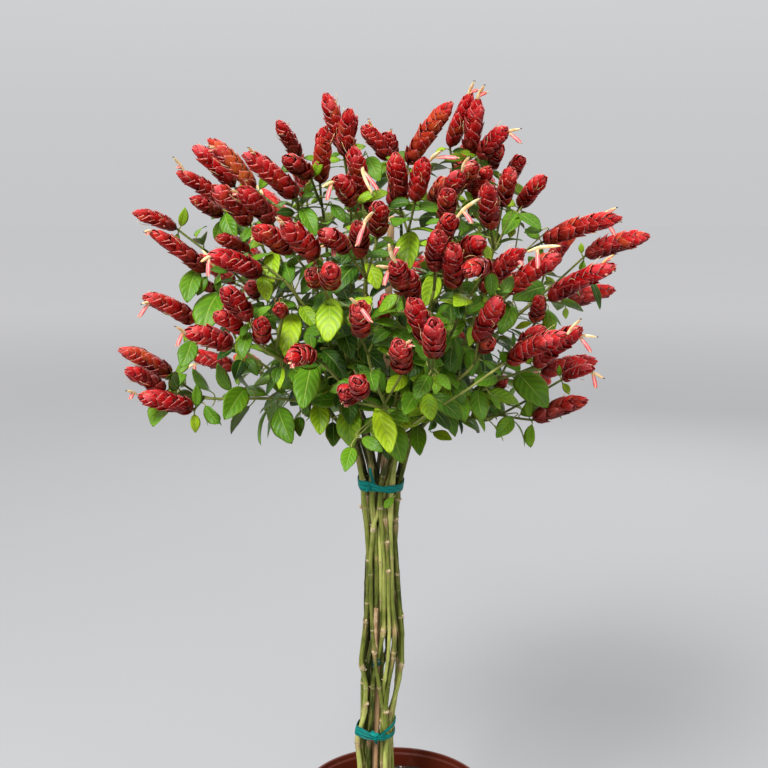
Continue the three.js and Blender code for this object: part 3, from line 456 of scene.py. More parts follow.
def facing_of(base, random):
    out = unit((base - HEAD_MIDDLE) * [1, 1, 0])
    sway = vec(random() - 0.5, random() - 0.5, random() - 0.5) * 0.7
    return unit(towards(base, EYE) * 0.75 + UP * 0.5 + out * 0.3 + sway)


def marked_leaf_options(marks, seed):
    base_u, base_v, tip_u, tip_v = marks
    front = front_depth(base_u, base_v)
    facing = facing_of(place(base_u, base_v, front), seeded(seed))
    for k in range(LEAF_DEPTHS["count"]):
        depth = front + k * LEAF_DEPTHS["step"]
        base = place(base_u, base_v, depth)
        flat = np.linalg.norm(base - place(tip_u, tip_v, depth))
        tip = place_from(base, tip_u, tip_v, flat * FORESHORTENED)
        perch = perches[int(np.argmin(np.linalg.norm(perch_points - base, axis=1)))]
        yield {"base": base, "tip": tip, "facing": facing, "perch": perch}


def far_leaf_options(perch, side, seed):
    random = seeded(seed)
    start = random() * math.pi
    length = FAR_LEAF["length"] * (0.8 + 0.4 * random())
    along = perch["along"]
    beside, over = sides_of(along)
    facing = unit(along * [0.5, 0.5, 0] + UP)
    for attempt in range(FAR_LEAF["attempts"]):
        angle = start + side * math.pi + attempt * FAR_LEAF["turn"]
        out = unit(along * 0.55 + beside * math.cos(angle) + over * math.sin(angle))
        base = perch["point"] + out * FAR_LEAF["stalk"]
        tip = base + out * length - UP * FAR_LEAF["droop"] * length
        yield {"base": base, "tip": tip, "facing": facing, "perch": perch}


def find_leaf(name, options, tint, girth=LEAF_GIRTH):
    def miss(leaf):
        along = towards(leaf["base"], leaf["tip"])
        beside = unit(np.cross(along, leaf["facing"]))
        face = unit(np.cross(beside, along))
        node = leaf["perch"]["stem"]["node"]
        return max(off(node, leaf["tip"] + face * side * BLADE["thickness"] / 2) for side in (-1, 1))

    leaf = nearest(name, list(options), miss)
    if name not in lost:
        leaf["perch"]["stem"]["leaves"].append({**leaf, "tint": tint, "girth": girth})


cane_lines = [cane_line(cane) for cane in CANES]
sprays = [marked_spray(f"spray_{index + 1:02d}", marks) for index, marks in enumerate(SPRAYS)]
for far_level in FAR_LEVELS:
    for far_index in range(far_level["count"]):
        sprays.append(far_spray(f"spray_{len(sprays) + 1:02d}", far_level, far_index))
stems = [find_stem(cane) for cane in deal_sprays(sprays)]
perches = [perch for stem in stems for branch in stem["branches"] for perch in perches_of(stem, branch)]
perch_points = np.array([perch["point"] for perch in perches])
for index, marks in enumerate(LEAVES):
    leaf_tint = 0.95 if index in LIME_LEAVES else 0.12 if index in DARK_SHADED_LEAVES else 0.5
    find_leaf(f"leaf {index}", marked_leaf_options(marks, 500 + index), leaf_tint,
              NARROW_LEAVES.get(index, LEAF_GIRTH))
SHOWN_LEAVES = np.array([[leaf["base"], leaf["tip"]] for stem in stems for leaf in stem["leaves"]])
for s, stem in enumerate(stems):
    for k, branch in enumerate(stem["branches"]):
        if branch["spray"]["fork"][1] <= FAR_SIDE:
            continue
        mine = [perch for perch in perches if perch["stem"] is stem and perch["spray"] is branch["spray"]]
        chosen = mine[math.floor(FAR_LEAF["at"] * len(mine))]
        for side in (0, 1):
            find_leaf(f"far leaf {s} {k} {side}",
                      far_leaf_options(chosen, side, 3000 + 100 * s + 10 * k), 0.45)
print("layout: not found in the solids:", lost or "none")


# ---------------------------------------------------------------- mesh making
def add_object(name, data):
    made = bpy.data.objects.new(name, data)
    bpy.context.scene.collection.objects.link(made)
    return made


# Gathers closed shapes into one object. Each point has a grain, which is its place on the shape
# for the materials' veins and streaks, and a mark, which holds its tints.
class Piece:
    def __init__(self):
        self.points, self.grain, self.marks = [], [], []
        self.faces, self.finishes = [], []
        self.count = 0

    def add(self, points, faces, grain, marks, finish=0):
        points = np.asarray(points, float)
        self.points.append(points)
        self.grain.append(np.broadcast_to(grain, points.shape))
        self.marks.append(np.broadcast_to(marks, points.shape))
        for group in faces:
            if len(group):
                self.faces.append(np.asarray(group) + self.count)
                self.finishes.append(np.full(len(group), finish))
        self.count += len(points)

    def make(self, name, nodes, materials, smooth=True):
        mesh = bpy.data.meshes.new(name)
        points = np.concatenate(self.points) / 1000
        loops = np.concatenate([group.ravel() for group in self.faces])
        totals = np.concatenate([np.full(len(group), group.shape[1]) for group in self.faces])
        mesh.vertices.add(len(points))
        mesh.vertices.foreach_set("co", points.astype(np.float32).ravel())
        mesh.loops.add(len(loops))
        mesh.loops.foreach_set("vertex_index", loops.astype(np.int32))
        mesh.polygons.add(len(totals))
        starts = np.concatenate([[0], np.cumsum(totals)[:-1]])
        mesh.polygons.foreach_set("loop_start", starts.astype(np.int32))
        mesh.polygons.foreach_set("material_index", np.concatenate(self.finishes).astype(np.int32))
        for title, values in (("grain", self.grain), ("mark", self.marks)):
            attribute = mesh.attributes.new(title, "FLOAT_VECTOR", "POINT")
            attribute.data.foreach_set("vector", np.concatenate(values).astype(np.float32).ravel())
        for material in materials:
            mesh.materials.append(material)
        mesh.update(calc_edges=True)
        mesh.validate()
        mesh.polygons.foreach_set("use_smooth", [smooth] * len(mesh.polygons))
        made = add_object(name, mesh)
        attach(made, "root")
        if nodes:
            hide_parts(*nodes)
        return made


# Faces of a thin closed sheet: rows of points, then one tip point, on an upper and a lower side
# that share their border.
sheet_cache = {}


def sheet_faces(rows, columns):
    if (rows, columns) in sheet_cache:
        return sheet_cache[rows, columns]
    upper = np.arange(rows * columns).reshape(rows, columns)
    tip = rows * columns
    lower = upper.copy()
    inner = np.arange((rows - 1) * (columns - 2)).reshape(rows - 1, columns - 2)
    lower[1:, 1:-1] = tip + 1 + inner

    def side(grid, turn):
        quads = np.stack([grid[:-1, :-1], grid[:-1, 1:], grid[1:, 1:], grid[1:, :-1]], -1).reshape(-1, 4)
        last = np.stack([grid[-1, :-1], grid[-1, 1:], np.full(columns - 1, tip)], -1)
        return (quads[:, ::-1], last[:, ::-1]) if turn else (quads, last)

    sheet_cache[rows, columns] = [*side(upper, False), *side(lower, True)]
    return sheet_cache[rows, columns]


# A sheet through a grid of points (rows, columns, 3) and a tip, thickest in the middle.
def add_sheet(piece, grid, tip, normals, thickness, parts, mark, finish=0):
    rows, columns = grid.shape[:2]
    across = np.linspace(-1, 1, columns)
    body = thickness / 2 * (1 - across ** 2)[None, :, None] * normals
    body[0] = 0
    upper = grid + body
    lower = (grid - body)[1:, 1:-1]
    points = np.concatenate([upper.reshape(-1, 3), tip[None], lower.reshape(-1, 3)])
    u, v = np.broadcast_arrays(across[None, :], np.asarray(parts)[:, None])
    top = np.stack([u, v, np.zeros_like(u)], -1)
    under = (top + [0, 0, 1])[1:, 1:-1]
    grain = np.concatenate([top.reshape(-1, 3), [[0, 1, 0]], under.reshape(-1, 3)])
    piece.add(points, sheet_faces(rows, columns), grain, mark, finish)


def ways_along(path):
    ways = np.gradient(path, axis=0)
    return ways / np.linalg.norm(ways, axis=1)[:, None]


# The way across a blade and the way out of its face, for each row of it.
def row_frames(path, facing):
    ways = ways_along(path)
    sides = np.cross(ways, facing)
    sides /= np.linalg.norm(sides, axis=1)[:, None]
    return sides, np.cross(sides, ways)


# A blade along a path whose last point is its tip. `fold` lifts the edges in a V, `cup` in a U.
def add_blade(piece, path, facing, halves, columns, thickness, fold, cup, wave, mark, finish=0):
    sides, faces = row_frames(path, facing)
    across = np.linspace(-1, 1, columns)[None, :, None]
    rows = len(path) - 1
    parts = np.linspace(0, 1, rows + 1)[:rows]
    half = np.asarray(halves)[:rows, None, None]
    ripple = wave[0] * np.sin(wave[1] * parts * 2 * math.pi + wave[2])[:, None, None] * np.sign(across)
    lift = half * (fold * np.abs(across) + cup * across ** 2 + ripple * np.abs(across) ** 3)
    grid = path[:rows, None] + sides[:rows, None] * half * across + faces[:rows, None] * lift
    normals = faces[:rows, None] - sides[:rows, None] * (fold * np.sign(across) + 2 * cup * across)
    normals = normals / np.linalg.norm(normals, axis=2)[..., None]
    add_sheet(piece, grid, path[-1], normals, thickness, parts, mark, finish)


# Points along a smooth line through some points, about `step` apart, with the share of the whole.
def smooth_line(points, step):
    points = np.asarray(points, float)
    padded = np.concatenate([[2 * points[0] - points[1]], points, [2 * points[-1] - points[-2]]])
    line = []
    for k in range(len(points) - 1):
        a, b, c, d = padded[k:k + 4]
        count = max(1, round(float(np.linalg.norm(c - b)) / step))
        for part in np.arange(count) / count:
            line.append(0.5 * (2 * b + (c - a) * part + (2 * a - 5 * b + 4 * c - d) * part ** 2
                               + (3 * b - a - 3 * c + d) * part ** 3))
    return np.array([*line, points[-1]])


# A point of the curve that rounds off a corner.
def rounding(start, corner, end, part):
    return start * (1 - part) ** 2 + corner * 2 * part * (1 - part) + end * part ** 2


# Straight stretches between the points, with each corner rounded off.
def jointed_line(points, radius, step):
    points = [np.asarray(point, float) for point in points]
    line = [points[0]]

    def run_to(end):
        start = line[-1]
        count = max(1, round(float(np.linalg.norm(end - start)) / step))
        for part in np.arange(1, count + 1) / count:
            line.append(start + (end - start) * part)

    for before, corner, after in zip(points, points[1:], points[2:]):
        reach_in = min(radius, 0.45 * np.linalg.norm(corner - before))
        reach_out = min(radius, 0.45 * np.linalg.norm(after - corner))
        start = corner + towards(corner, before) * reach_in
        end = corner + towards(corner, after) * reach_out
        run_to(start)
        for part in (0.25, 0.5, 0.75, 1.0):
            line.append(rounding(start, corner, end, part))
    run_to(points[-1])
    return np.array(line)


def lengths_along(path):
    return np.concatenate([[0], np.cumsum(np.linalg.norm(np.diff(path, axis=0), axis=1))])


# Quads between the rings of a grid of point numbers, each ring closed on itself.
def ring_walls(grid):
    following = np.roll(grid, -1, axis=1)
    return np.stack([grid[:-1], following[:-1], following[1:], grid[1:]], -1).reshape(-1, 4)


# The walls through some rings, and a fan over each end to one of the two points after the rings.
def ring_faces(count, sides):
    grid = np.arange(count * sides).reshape(count, sides)
    following = np.roll(grid, -1, axis=1)
    foot = np.stack([following[0], grid[0], np.full(sides, grid.size)], -1)
    head = np.stack([grid[-1], following[-1], np.full(sides, grid.size + 1)], -1)
    return [ring_walls(grid), foot, head]


# Points, grains or marks from the values of their parts, each of them one number or an array.
def stacked(*tints):
    return np.stack(np.broadcast_arrays(*tints), -1)


def turns_round(count):
    return np.arange(count) / count * 2 * math.pi


# A tube along a path with flat ends. `radii` is one number, or one for each ring or for each point
# of each ring, and `marks` is one mark or one for each ring.
def add_tube(piece, path, radii, sides, marks, finish=0, squash=1.0, turn=0.0):
    path = np.asarray(path, float)
    count = len(path)
    ways = ways_along(path)
    across = np.empty_like(path)
    guess = UP if abs(ways[0] @ ACROSS) > 0.9 else ACROSS
    for k in range(count):
        guess = guess - ways[k] * (guess @ ways[k])
        guess = guess / np.linalg.norm(guess)
        across[k] = guess
    beside = np.cross(ways, across)
    angles = turns_round(sides) + turn
    radii = np.asarray(radii, float)
    if radii.ndim < 2:
        radii = np.broadcast_to(radii, (count,))[:, None]
    rings = (path[:, None] + across[:, None] * (radii * np.cos(angles))[..., None]
             + beside[:, None] * (radii * squash * np.sin(angles))[..., None])
    arc = lengths_along(path)
    grain = stacked(np.cos(angles)[None], np.sin(angles)[None], arc[:, None] / 10)
    ends = np.array([[0, 0, 0], [0, 0, arc[-1] / 10]])
    marks = np.broadcast_to(np.asarray(marks, float), (count, 3))
    piece.add(np.concatenate([rings.reshape(-1, 3), path[[0, -1]]]), ring_faces(count, sides),
              np.concatenate([grain.reshape(-1, 3), ends]),
              np.concatenate([np.repeat(marks, sides, axis=0), marks[[0, -1]]]), finish)


# ---------------------------------------------------------------- materials
# A number, colour or point that a material's nodes work out. Sums of them are written as sums.
class Value:
    def __init__(self, nodes, socket):
        self.nodes = nodes
        self.socket = socket

    def __add__(self, other):
        return self.nodes.math("ADD", self, other)

    def __radd__(self, other):
        return self.nodes.math("ADD", other, self)

    def __sub__(self, other):
        return self.nodes.math("SUBTRACT", self, other)

    def __rsub__(self, other):
        return self.nodes.math("SUBTRACT", other, self)

    def __mul__(self, other):
        return self.nodes.math("MULTIPLY", self, other)

    def __pow__(self, other):
        return self.nodes.math("POWER", self, other)

    def __abs__(self):
        return self.nodes.math("ABSOLUTE", self)

    # The part of the way from low to high, between 0 and 1.
    def span(self, low, high):
        return self.nodes.add("ShaderNodeMapRange", enumerate((self, low, high, 0.0, 1.0)),
                              interpolation_type="SMOOTHSTEP")


SHADER_INPUTS = {"normal": "Normal", "gloss": "Specular IOR Level", "glow": "Subsurface Weight",
                 "glow_depth": "Subsurface Scale"}


# The shader nodes of a material or of the world.
class Nodes:
    def __init__(self, owner):
        owner.use_nodes = True
        self.owner = owner
        self.tree = owner.node_tree
        self.coordinates = self.add("ShaderNodeTexCoord", (), "Object")

    def link(self, value, socket):
        if isinstance(value, Value):
            self.tree.links.new(value.socket, socket)
        elif isinstance(value, tuple):
            socket.default_value = (*value, 1)
        else:
            socket.default_value = value

    # A new node; `inputs` pairs the name or number of a socket with what goes into it.
    def add(self, kind, inputs, output=0, **settings):
        node = self.tree.nodes.new(kind)
        for name, setting in settings.items():
            setattr(node, name, setting)
        for socket, value in inputs:
            self.link(value, node.inputs[socket])
        return Value(self, node.outputs[output])

    def math(self, operation, a, b=0.0):
        return self.add("ShaderNodeMath", enumerate((a, b, 0.0)), operation=operation)

    def split(self, vector):
        return [self.add("ShaderNodeSeparateXYZ", [(0, vector)], axis) for axis in "XYZ"]

    def attribute(self, name):
        return self.split(self.add("ShaderNodeAttribute", (), "Vector", attribute_name=name))

    def joined(self, *parts):
        return self.add("ShaderNodeCombineXYZ", enumerate(parts))

    def noise(self, scale, detail, roughness=0.55, distortion=0.0, at=None):
        return self.add("ShaderNodeTexNoise", [
            ("Vector", self.coordinates if at is None else at), ("Scale", scale), ("Detail", detail),
            ("Roughness", roughness), ("Distortion", distortion)])

    def mix(self, factor, a, b, blend="MIX"):
        return self.add("ShaderNodeMix", [(0, factor), (6, a), (7, b)], 2, data_type="RGBA",
                        blend_type=blend)

    # A colour with others laid over it in turn, each as far as its factor says.
    def layered(self, colour, *layers):
        for factor, tint in layers:
            colour = self.mix(factor, colour, tint)
        return colour

    def bump(self, height, strength, distance):
        return self.add("ShaderNodeBump", [("Height", height), ("Strength", strength),
                                           ("Distance", distance)])

    def finish(self, colour, roughness, **inputs):
        shader = self.tree.nodes["Principled BSDF"].inputs
        self.link(colour, shader["Base Color"])
        self.link(roughness, shader["Roughness"])
        for name, value in inputs.items():
            self.link(value, shader[SHADER_INPUTS[name]])
        return self.owner


# grain: across, along; mark: age (1 at the spike's foot), chance (partly random, partly painted light:
# higher on bracts that face up), orange
def bract_material():
    n = Nodes(bpy.data.materials.new("bract"))
    across, along, _ = n.attribute("grain")
    age, chance, orange = n.attribute("mark")
    cloud = n.noise(90, 2)
    fine = n.noise(700, 3)
    lines = n.noise(1.5, 2, at=n.joined(across * 8, along, chance))
    # Painted light: chance is higher on bracts that face up. Those come out redder, with paler pink young
    # bracts and tips as painted highlights, and bracts facing down come out darker maroon as painted
    # shade.
    redness = along * 0.30 + chance * 0.66 - age * 0.42
    blotches = cloud.span(0.50, 0.74) * 0.45
    fading = orange * along.span(0.1, 0.6) * cloud.span(0.3, 0.6) * chance.span(0.1, 0.5) * 0.85
    browning = age.span(0.72, 1.1) * 0.62
    pale_lines = lines.span(0.52, 0.7) * along.span(0.15, 0.8) * 0.62
    young_and_painted_highlight = age.span(0.34, 0.0) * chance.span(0.40, 0.90) * 0.45
    pale_tip_and_painted_highlight = along.span(0.74, 1.0) * chance.span(0.25, 0.85) * 0.55
    sides = abs(across).span(0.78, 0.98) * along.span(0.2, 0.5)
    rim = n.math("MAXIMUM", sides, along.span(0.93, 1.0)) * age.span(1.2, 0.5) * fine.span(0.30, 0.55)
    colour = n.layered(
        n.mix(redness.span(-0.12, 0.70), (0.092, 0.0006, 0.0010), (0.53, 0.0030, 0.0060)),
        (blotches, (0.64, 0.012, 0.016)),
        (fading, (0.56, 0.13, 0.022)),
        (browning, (0.12, 0.014, 0.009)),
        (pale_lines, (0.86, 0.185, 0.172)),
        (young_and_painted_highlight, (0.86, 0.15, 0.17)),
        (pale_tip_and_painted_highlight, (0.88, 0.26, 0.235)),
        (rim * 0.68, (0.93, 0.43, 0.375)))
    return n.finish(colour, 0.24 + fine * 0.22, normal=n.bump(lines * 0.6 + fine * 0.4, 0.4, 0.0007),
                    gloss=0.08, glow=0.20, glow_depth=0.004)


# grain: across, along, 1 on the underside; mark: tint (0 dark, 1 yellow-green), chance
def leaf_material():
    n = Nodes(bpy.data.materials.new("leaf"))
    across, along, under = n.attribute("grain")
    tint, chance, _ = n.attribute("mark")
    edge = abs(across)
    cloud = n.noise(45, 3)
    fine = n.noise(900, 2)
    # The side veins sweep forward towards the edge, and the blade swells between them. The grooves beside
    # the veins are painted darker as shade, and the swells a little lighter as painted light.
    phase = (along - edge ** 1.4 * 0.30) * 6.0
    saw = n.math("PINGPONG", phase + chance * 0.5, 0.5)
    rib = edge.span(0.09 - along * 0.06, 0.01)
    painted_vein_shade = saw.span(0.17, 0.03) * edge.span(0.96, 0.75)
    swell = saw.span(0.12, 0.45) * edge.span(0.05, 0.35)
    # Painted light: the swell between the veins lightens the colour a little.
    level = tint * 0.85 + (cloud - 0.5) * 0.5 + (chance - 0.5) * 0.25 + (swell - 0.4) * 0.10
    colour = n.layered(
        n.mix(level.span(-0.05, 0.5), (0.012, 0.048, 0.003), (0.094, 0.240, 0.008)),
        (level.span(0.42, 1.0), (0.36, 0.53, 0.012)),
        (painted_vein_shade * (0.08 + tint * 0.24), (0.030, 0.110, 0.006)),
        (rib * 0.50, (0.40, 0.52, 0.09)),
        (edge.span(0.93, 1.0) * 0.35, (0.42, 0.48, 0.06)),
        (under * 0.35, (0.17, 0.29, 0.07)),
        (n.noise(260, 2).span(0.70, 0.76) * 0.3, (0.36, 0.36, 0.06)))
    relief = swell * 0.8 - rib * 0.6 + fine * 0.10
    return n.finish(colour, 0.26 + cloud * 0.25, normal=n.bump(relief, 0.34, 0.0011), gloss=0.20,
                    glow=0.08, glow_depth=0.003)


# grain: round the stem, along it in cm; mark: tint (0 dark, 1 lime), scar, wood (2 is a pale cut)
def stem_material():
    n = Nodes(bpy.data.materials.new("green_stem"))
    x, y, arc = n.attribute("grain")
    tint, scar, wood = n.attribute("mark")
    streak = n.noise(1.6, 4, 0.65, at=n.joined(x * 2.6, y * 2.6, arc * 0.30))
    cloud = n.noise(42, 3)
    fine = n.noise(1100, 3)
    level = tint + (streak - 0.5) * 1.5 + (cloud - 0.5) * 0.9
    bark = streak.span(0.50, 0.64) * cloud.span(0.38, 0.6)
    woody = wood + (streak - 0.5) * 0.8
    dry_wood = n.mix(streak.span(0.35, 0.65), (0.19, 0.10, 0.045), (0.56, 0.37, 0.20))
    scar_tissue = n.mix(fine.span(0.38, 0.62), (0.055, 0.028, 0.014), (0.76, 0.60, 0.38))
    cut_face = n.mix(fine, (0.46, 0.32, 0.16), (0.68, 0.54, 0.33))
    pores = n.noise(420, 1).span(0.70, 0.75)
    colour = n.layered(
        n.mix(level.span(0.0, 0.55), (0.018, 0.030, 0.004), (0.138, 0.169, 0.024)),
        (level.span(0.45, 1.1), (0.47, 0.51, 0.135)),
        (bark * 0.55, (0.27, 0.17, 0.07)),
        (woody.span(0.1, 0.9), dry_wood),
        ((scar + fine * 0.3).span(0.5, 0.95) * 0.8, scar_tissue),
        (wood.span(1.2, 1.8), cut_face),
        (pores * 0.55, (0.55, 0.48, 0.27)))
    return n.finish(colour, 0.36 + cloud * 0.25, gloss=0.14,
                    normal=n.bump(streak * 0.9 + fine * 0.3, 0.7, 0.0010))


# grain: across, along (round it, on a tube); mark: pink (0 cream tube, 1 pink lip), chance, dark
# anther
def corolla_material():
    n = Nodes(bpy.data.materials.new("corolla"))
    across, along, _ = n.attribute("grain")
    pink, chance, dark = n.attribute("mark")
    lines = n.noise(2.0, 2, at=n.joined(across * 7, along * 2, chance))
    stripes = abs(abs(across) - 0.5).span(0.40, 0.20) * lines.span(0.25, 0.5)
    lip = n.mix(stripes, (0.86, 0.38, 0.30), (0.66, 0.045, 0.075))
    colour = n.layered(
        n.mix(n.noise(150, 2).span(0.35, 0.65), (0.80, 0.50, 0.19), (0.90, 0.76, 0.44)),
        (pink * (along + lines * 0.6).span(0.25, 0.75), lip),
        (dark, (0.035, 0.02, 0.02)))
    return n.finish(colour, 0.42, normal=n.bump(lines, 0.35, 0.0005), glow=0.15, glow_depth=0.003)


# grain: round the stake, along it in cm; mark: scar of a node
def bamboo_material():
    n = Nodes(bpy.data.materials.new("bamboo"))
    x, y, arc = n.attribute("grain")
    scar, _, _ = n.attribute("mark")
    fibre = n.noise(2.2, 4, 0.65, at=n.joined(x * 6, y * 6, arc * 0.18))
    colour = n.layered(
        n.mix(fibre.span(0.3, 0.7), (0.36, 0.185, 0.075), (0.78, 0.52, 0.27)),
        (n.noise(16, 3).span(0.5, 0.68) * 0.5, (0.62, 0.29, 0.17)),
        (scar * 0.7, (0.15, 0.075, 0.03)))
    return n.finish(colour, 0.45 + fibre * 0.25, normal=n.bump(fibre, 0.5, 0.0006))


# grain: round the band, up it; mark: shade of a fold, chance
def tape_material():
    n = Nodes(bpy.data.materials.new("stretch_tape"))
    _, up, _ = n.attribute("grain")
    fold, chance, _ = n.attribute("mark")
    crease = n.noise(2.5, 4, 0.6, at=n.joined(up * 3, chance, n.noise(30, 2)))
    film = n.noise(260, 4, 0.65, 0.8)
    level = fold * 0.6 + crease * 0.5
    colour = n.layered(
        n.mix(level.span(0.15, 0.85), (0.0004, 0.055, 0.050), (0.0008, 0.235, 0.200)),
        (film.span(0.62, 0.78) * 0.25, (0.02, 0.45, 0.36)))
    return n.finish(colour, 0.34 + film * 0.2, gloss=0.14,
                    normal=n.bump(crease * 0.6 + film * 0.4, 0.6, 0.0009))


# grain: radius and height in cm
def pot_material():
    n = Nodes(bpy.data.materials.new("nursery_pot"))
    radius, height, _ = n.attribute("grain")
    rings = n.noise(1.0, 2, at=n.joined(0.0, height * 9, radius * 6))
    cloud = n.noise(22, 4)
    scuff = n.noise(210, 4, 0.7, 1.0)
    dust = n.noise(75, 5).span(0.55, 0.72)
    colour = n.layered(
        n.mix(cloud, (0.062, 0.0075, 0.0022), (0.108, 0.0140, 0.0042)),
        (rings.span(0.55, 0.7) * 0.35, (0.150, 0.027, 0.010)),
        (scuff.span(0.63, 0.75) * 0.3, (0.21, 0.080, 0.046)),
        (dust * 0.22, (0.15, 0.075, 0.045)))
    return n.finish(colour, 0.24 + cloud * 0.3, gloss=0.24,
                    normal=n.bump(rings * 0.6 + scuff * 0.3, 0.35, 0.0007))


# mark: pale crumb, bark chip, chance
def soil_material():
    n = Nodes(bpy.data.materials.new("potting_soil"))
    pale, chip, chance = n.attribute("mark")
    cloud = n.noise(55, 4)
    grit = n.noise(520, 5, 0.7)
    bark = n.mix(chance, (0.10, 0.045, 0.02), (0.33, 0.19, 0.10))
    colour = n.layered(
        n.mix(cloud.span(0.3, 0.7), (0.012, 0.0065, 0.004), (0.042, 0.024, 0.014)),
        (grit.span(0.56, 0.72) * 0.6, (0.11, 0.068, 0.04)),
        (chip, n.mix(grit.span(0.35, 0.65) * 0.5, bark, (0.07, 0.03, 0.015))),
        (pale, n.mix(grit, (0.42, 0.38, 0.32), (0.70, 0.67, 0.60))))
    return n.finish(colour, 0.88, normal=n.bump(grit + cloud * 0.5, 0.8, 0.0016))


BRACT, LEAF, STEM = bract_material(), leaf_material(), stem_material()
COROLLA, BAMBOO, TAPE = corolla_material(), bamboo_material(), tape_material()
POT_FINISH, SOIL_FINISH = pot_material(), soil_material()

# ---------------------------------------------------------------- spikes of bracts
BRACT_ROWS = np.array([0, 0.20, 0.42, 0.60, 0.77, 0.90])
PAIR_PITCH = 4.4
LAST_BRACT = 13.5
BRACT_THICKNESS = 0.32
# How far the tips of bracts lift, one drawn for each.
FLARES = [-0.02, -0.01, 0.01, 0.03, 0.06, 0.15]
# The closed buds at the tip of a spike: their girth as a share of the spike's, and their length.
TIP_BUDS = [(0.64, 12.0), (0.34, 10.5)]
# How worn the dark maroon spikes are.
DARK_WEAR = 0.42
# Spikes that have begun to fade to orange-brown, by the mark of their tip, and how far.
FADING = {(208, 139): 0.9, (325, 127): 0.5, (452, 102): 0.45, (475, 163): 0.55, (119, 349): 0.5,
          (310, 273): 0.8, (207, 255): 0.3, (622, 218): 0.1, (540, 297): 0.3, (143, 296): 0.12,
          (213, 186): 0.3, (448, 180): 0.6, (490, 342): 0.6, (512, 168): 0.2, (588, 400): 0.15}
# Spikes that are slimmer than the rest.
GIRTHS = {(133, 213): 0.74, (150, 232): 0.88, (277, 121): 0.80, (594, 368): 0.68, (177, 172): 0.86,
          (119, 349): 0.90, (325, 93): 0.92, (191, 199): 0.85, (222, 262): 0.85, (504, 378): 0.75,
          (216, 238): 0.80, (358, 223): 0.85, (472, 93): 0.92, (278, 308): 0.75, (200, 287): 0.72}
# Spikes that are dark maroon all along.
DARK_SPIKES = {(588, 400), (216, 238), (504, 378), (191, 199), (358, 223), (283, 158), (238, 188),
               (458, 252), (125, 370)}


def spike_axis(base, tip, part):
    lift = SPIKE["arch"] * np.linalg.norm(tip - base)
    part = np.asarray(part, float)[..., None]
    return base + (tip - base) * part + UP * 4 * lift * part * (1 - part)


def spike_way(base, tip, part):
    length = np.linalg.norm(tip - base)
    return unit(tip - base + UP * 4 * SPIKE["arch"] * length * (1 - 2 * part))


def spike_reach(length, part):
    wide = 0.95 * SPIKE["radius"] * min(1, 0.55 + length / SPIKE["full_length"])
    part = np.maximum(part, 0)
    close = np.clip((part - 0.74) / 0.28, 0, 1)
    full = (0.88 + 0.10 * np.sin(part * 3.2)) * (1 - 0.16 * np.minimum(part, 1) ** 2)
    return wide * full * (1 - 0.86 * close ** 1.7)


# The way out of a spike at a turn from its front, and the way beside that.
def frame_at(way, front, turn):
    beside = unit(np.cross(way, front))
    out = np.cross(beside, way) * math.cos(turn) + beside * math.sin(turn)
    return out, np.cross(way, out)


# One bract: it rises steeply from its seat, lies along the spike like a tile and narrows to a
# point that sways aside. `flare` lifts its tip clear of the bracts above it.
def add_bract(piece, spike, start, size, turn, flare, age, rng):
    base, tip, girth = spike["base"], spike["tip"], spike["girth"]
    length = np.linalg.norm(tip - base)
    rows = np.append(BRACT_ROWS, 1.0)
    at = start + size * rows
    way = spike_way(base, tip, start / length)
    centre = spike_axis(base, tip, np.minimum(at / length, 1.0))
    centre = centre + way * np.maximum(at - length, 0)[:, None]
    out, side = frame_at(way, spike["front"], turn)
    room = spike_reach(length, at / length) * girth * rng.uniform(0.94, 1.05)
    rise = np.clip(rows / 0.30, 0, 1)
    rise = rise * rise * (3 - 2 * rise)
    late = np.clip((rows - 0.45) / 0.55, 0, 1)
    reach = 1.0 + (0.76 * room - 1.0) * rise + room * (0.20 * rows + flare * late ** 1.5)
    half = 1.08 * girth * spike_reach(length, (start + 0.4 * size) / length) * rng.uniform(0.86, 1.08)
    widths = half * (np.sin(math.pi * rows ** 0.78) ** (0.85 + 0.55 * rows) + 0.14 * (1 - rows) ** 2)
    across = np.linspace(-1, 1, spike["columns"])
    bend = np.maximum(0.95 * reach, 3.0)
    angle = across[None] * (widths / bend)[:, None]
    ripple = 0.3 * np.sin(5 * rows + rng.uniform(0, 6))[:, None] * across[None] ** 2
    curl = rng.uniform(-0.2, 0.9) * late[:, None] * across[None] ** 4
    sway = rng.uniform(-0.22, 0.22) * half * late
    keel = 0.7 * (1 - np.abs(across))[None] * rise[:, None]
    out_part = (reach - bend)[:, None] + (bend[:, None] + ripple + keel + curl) * np.cos(angle)
    side_part = (bend[:, None] + ripple + curl) * np.sin(angle) + sway[:, None]
    grid = centre[:, None] + out * out_part[..., None] + side * side_part[..., None]
    normals = out * np.cos(angle)[..., None] + side * np.sin(angle)[..., None]
    # Partly random and partly painted light: bracts that face up get a higher chance mark, which paints
    # them redder and paler pink.
    chance_and_top_light = 0.65 * rng.uniform() + 0.35 * (0.5 + 0.5 * out[2])
    faded = min(1.0, spike["orange"] * rng.uniform(0.5, 1.3) + 0.4 * (rng.uniform() < 0.05))
    add_sheet(piece, grid[:-1], grid[-1, spike["columns"] // 2], normals[:-1], BRACT_THICKNESS,
              rows[:-1], (age, chance_and_top_light, faded))


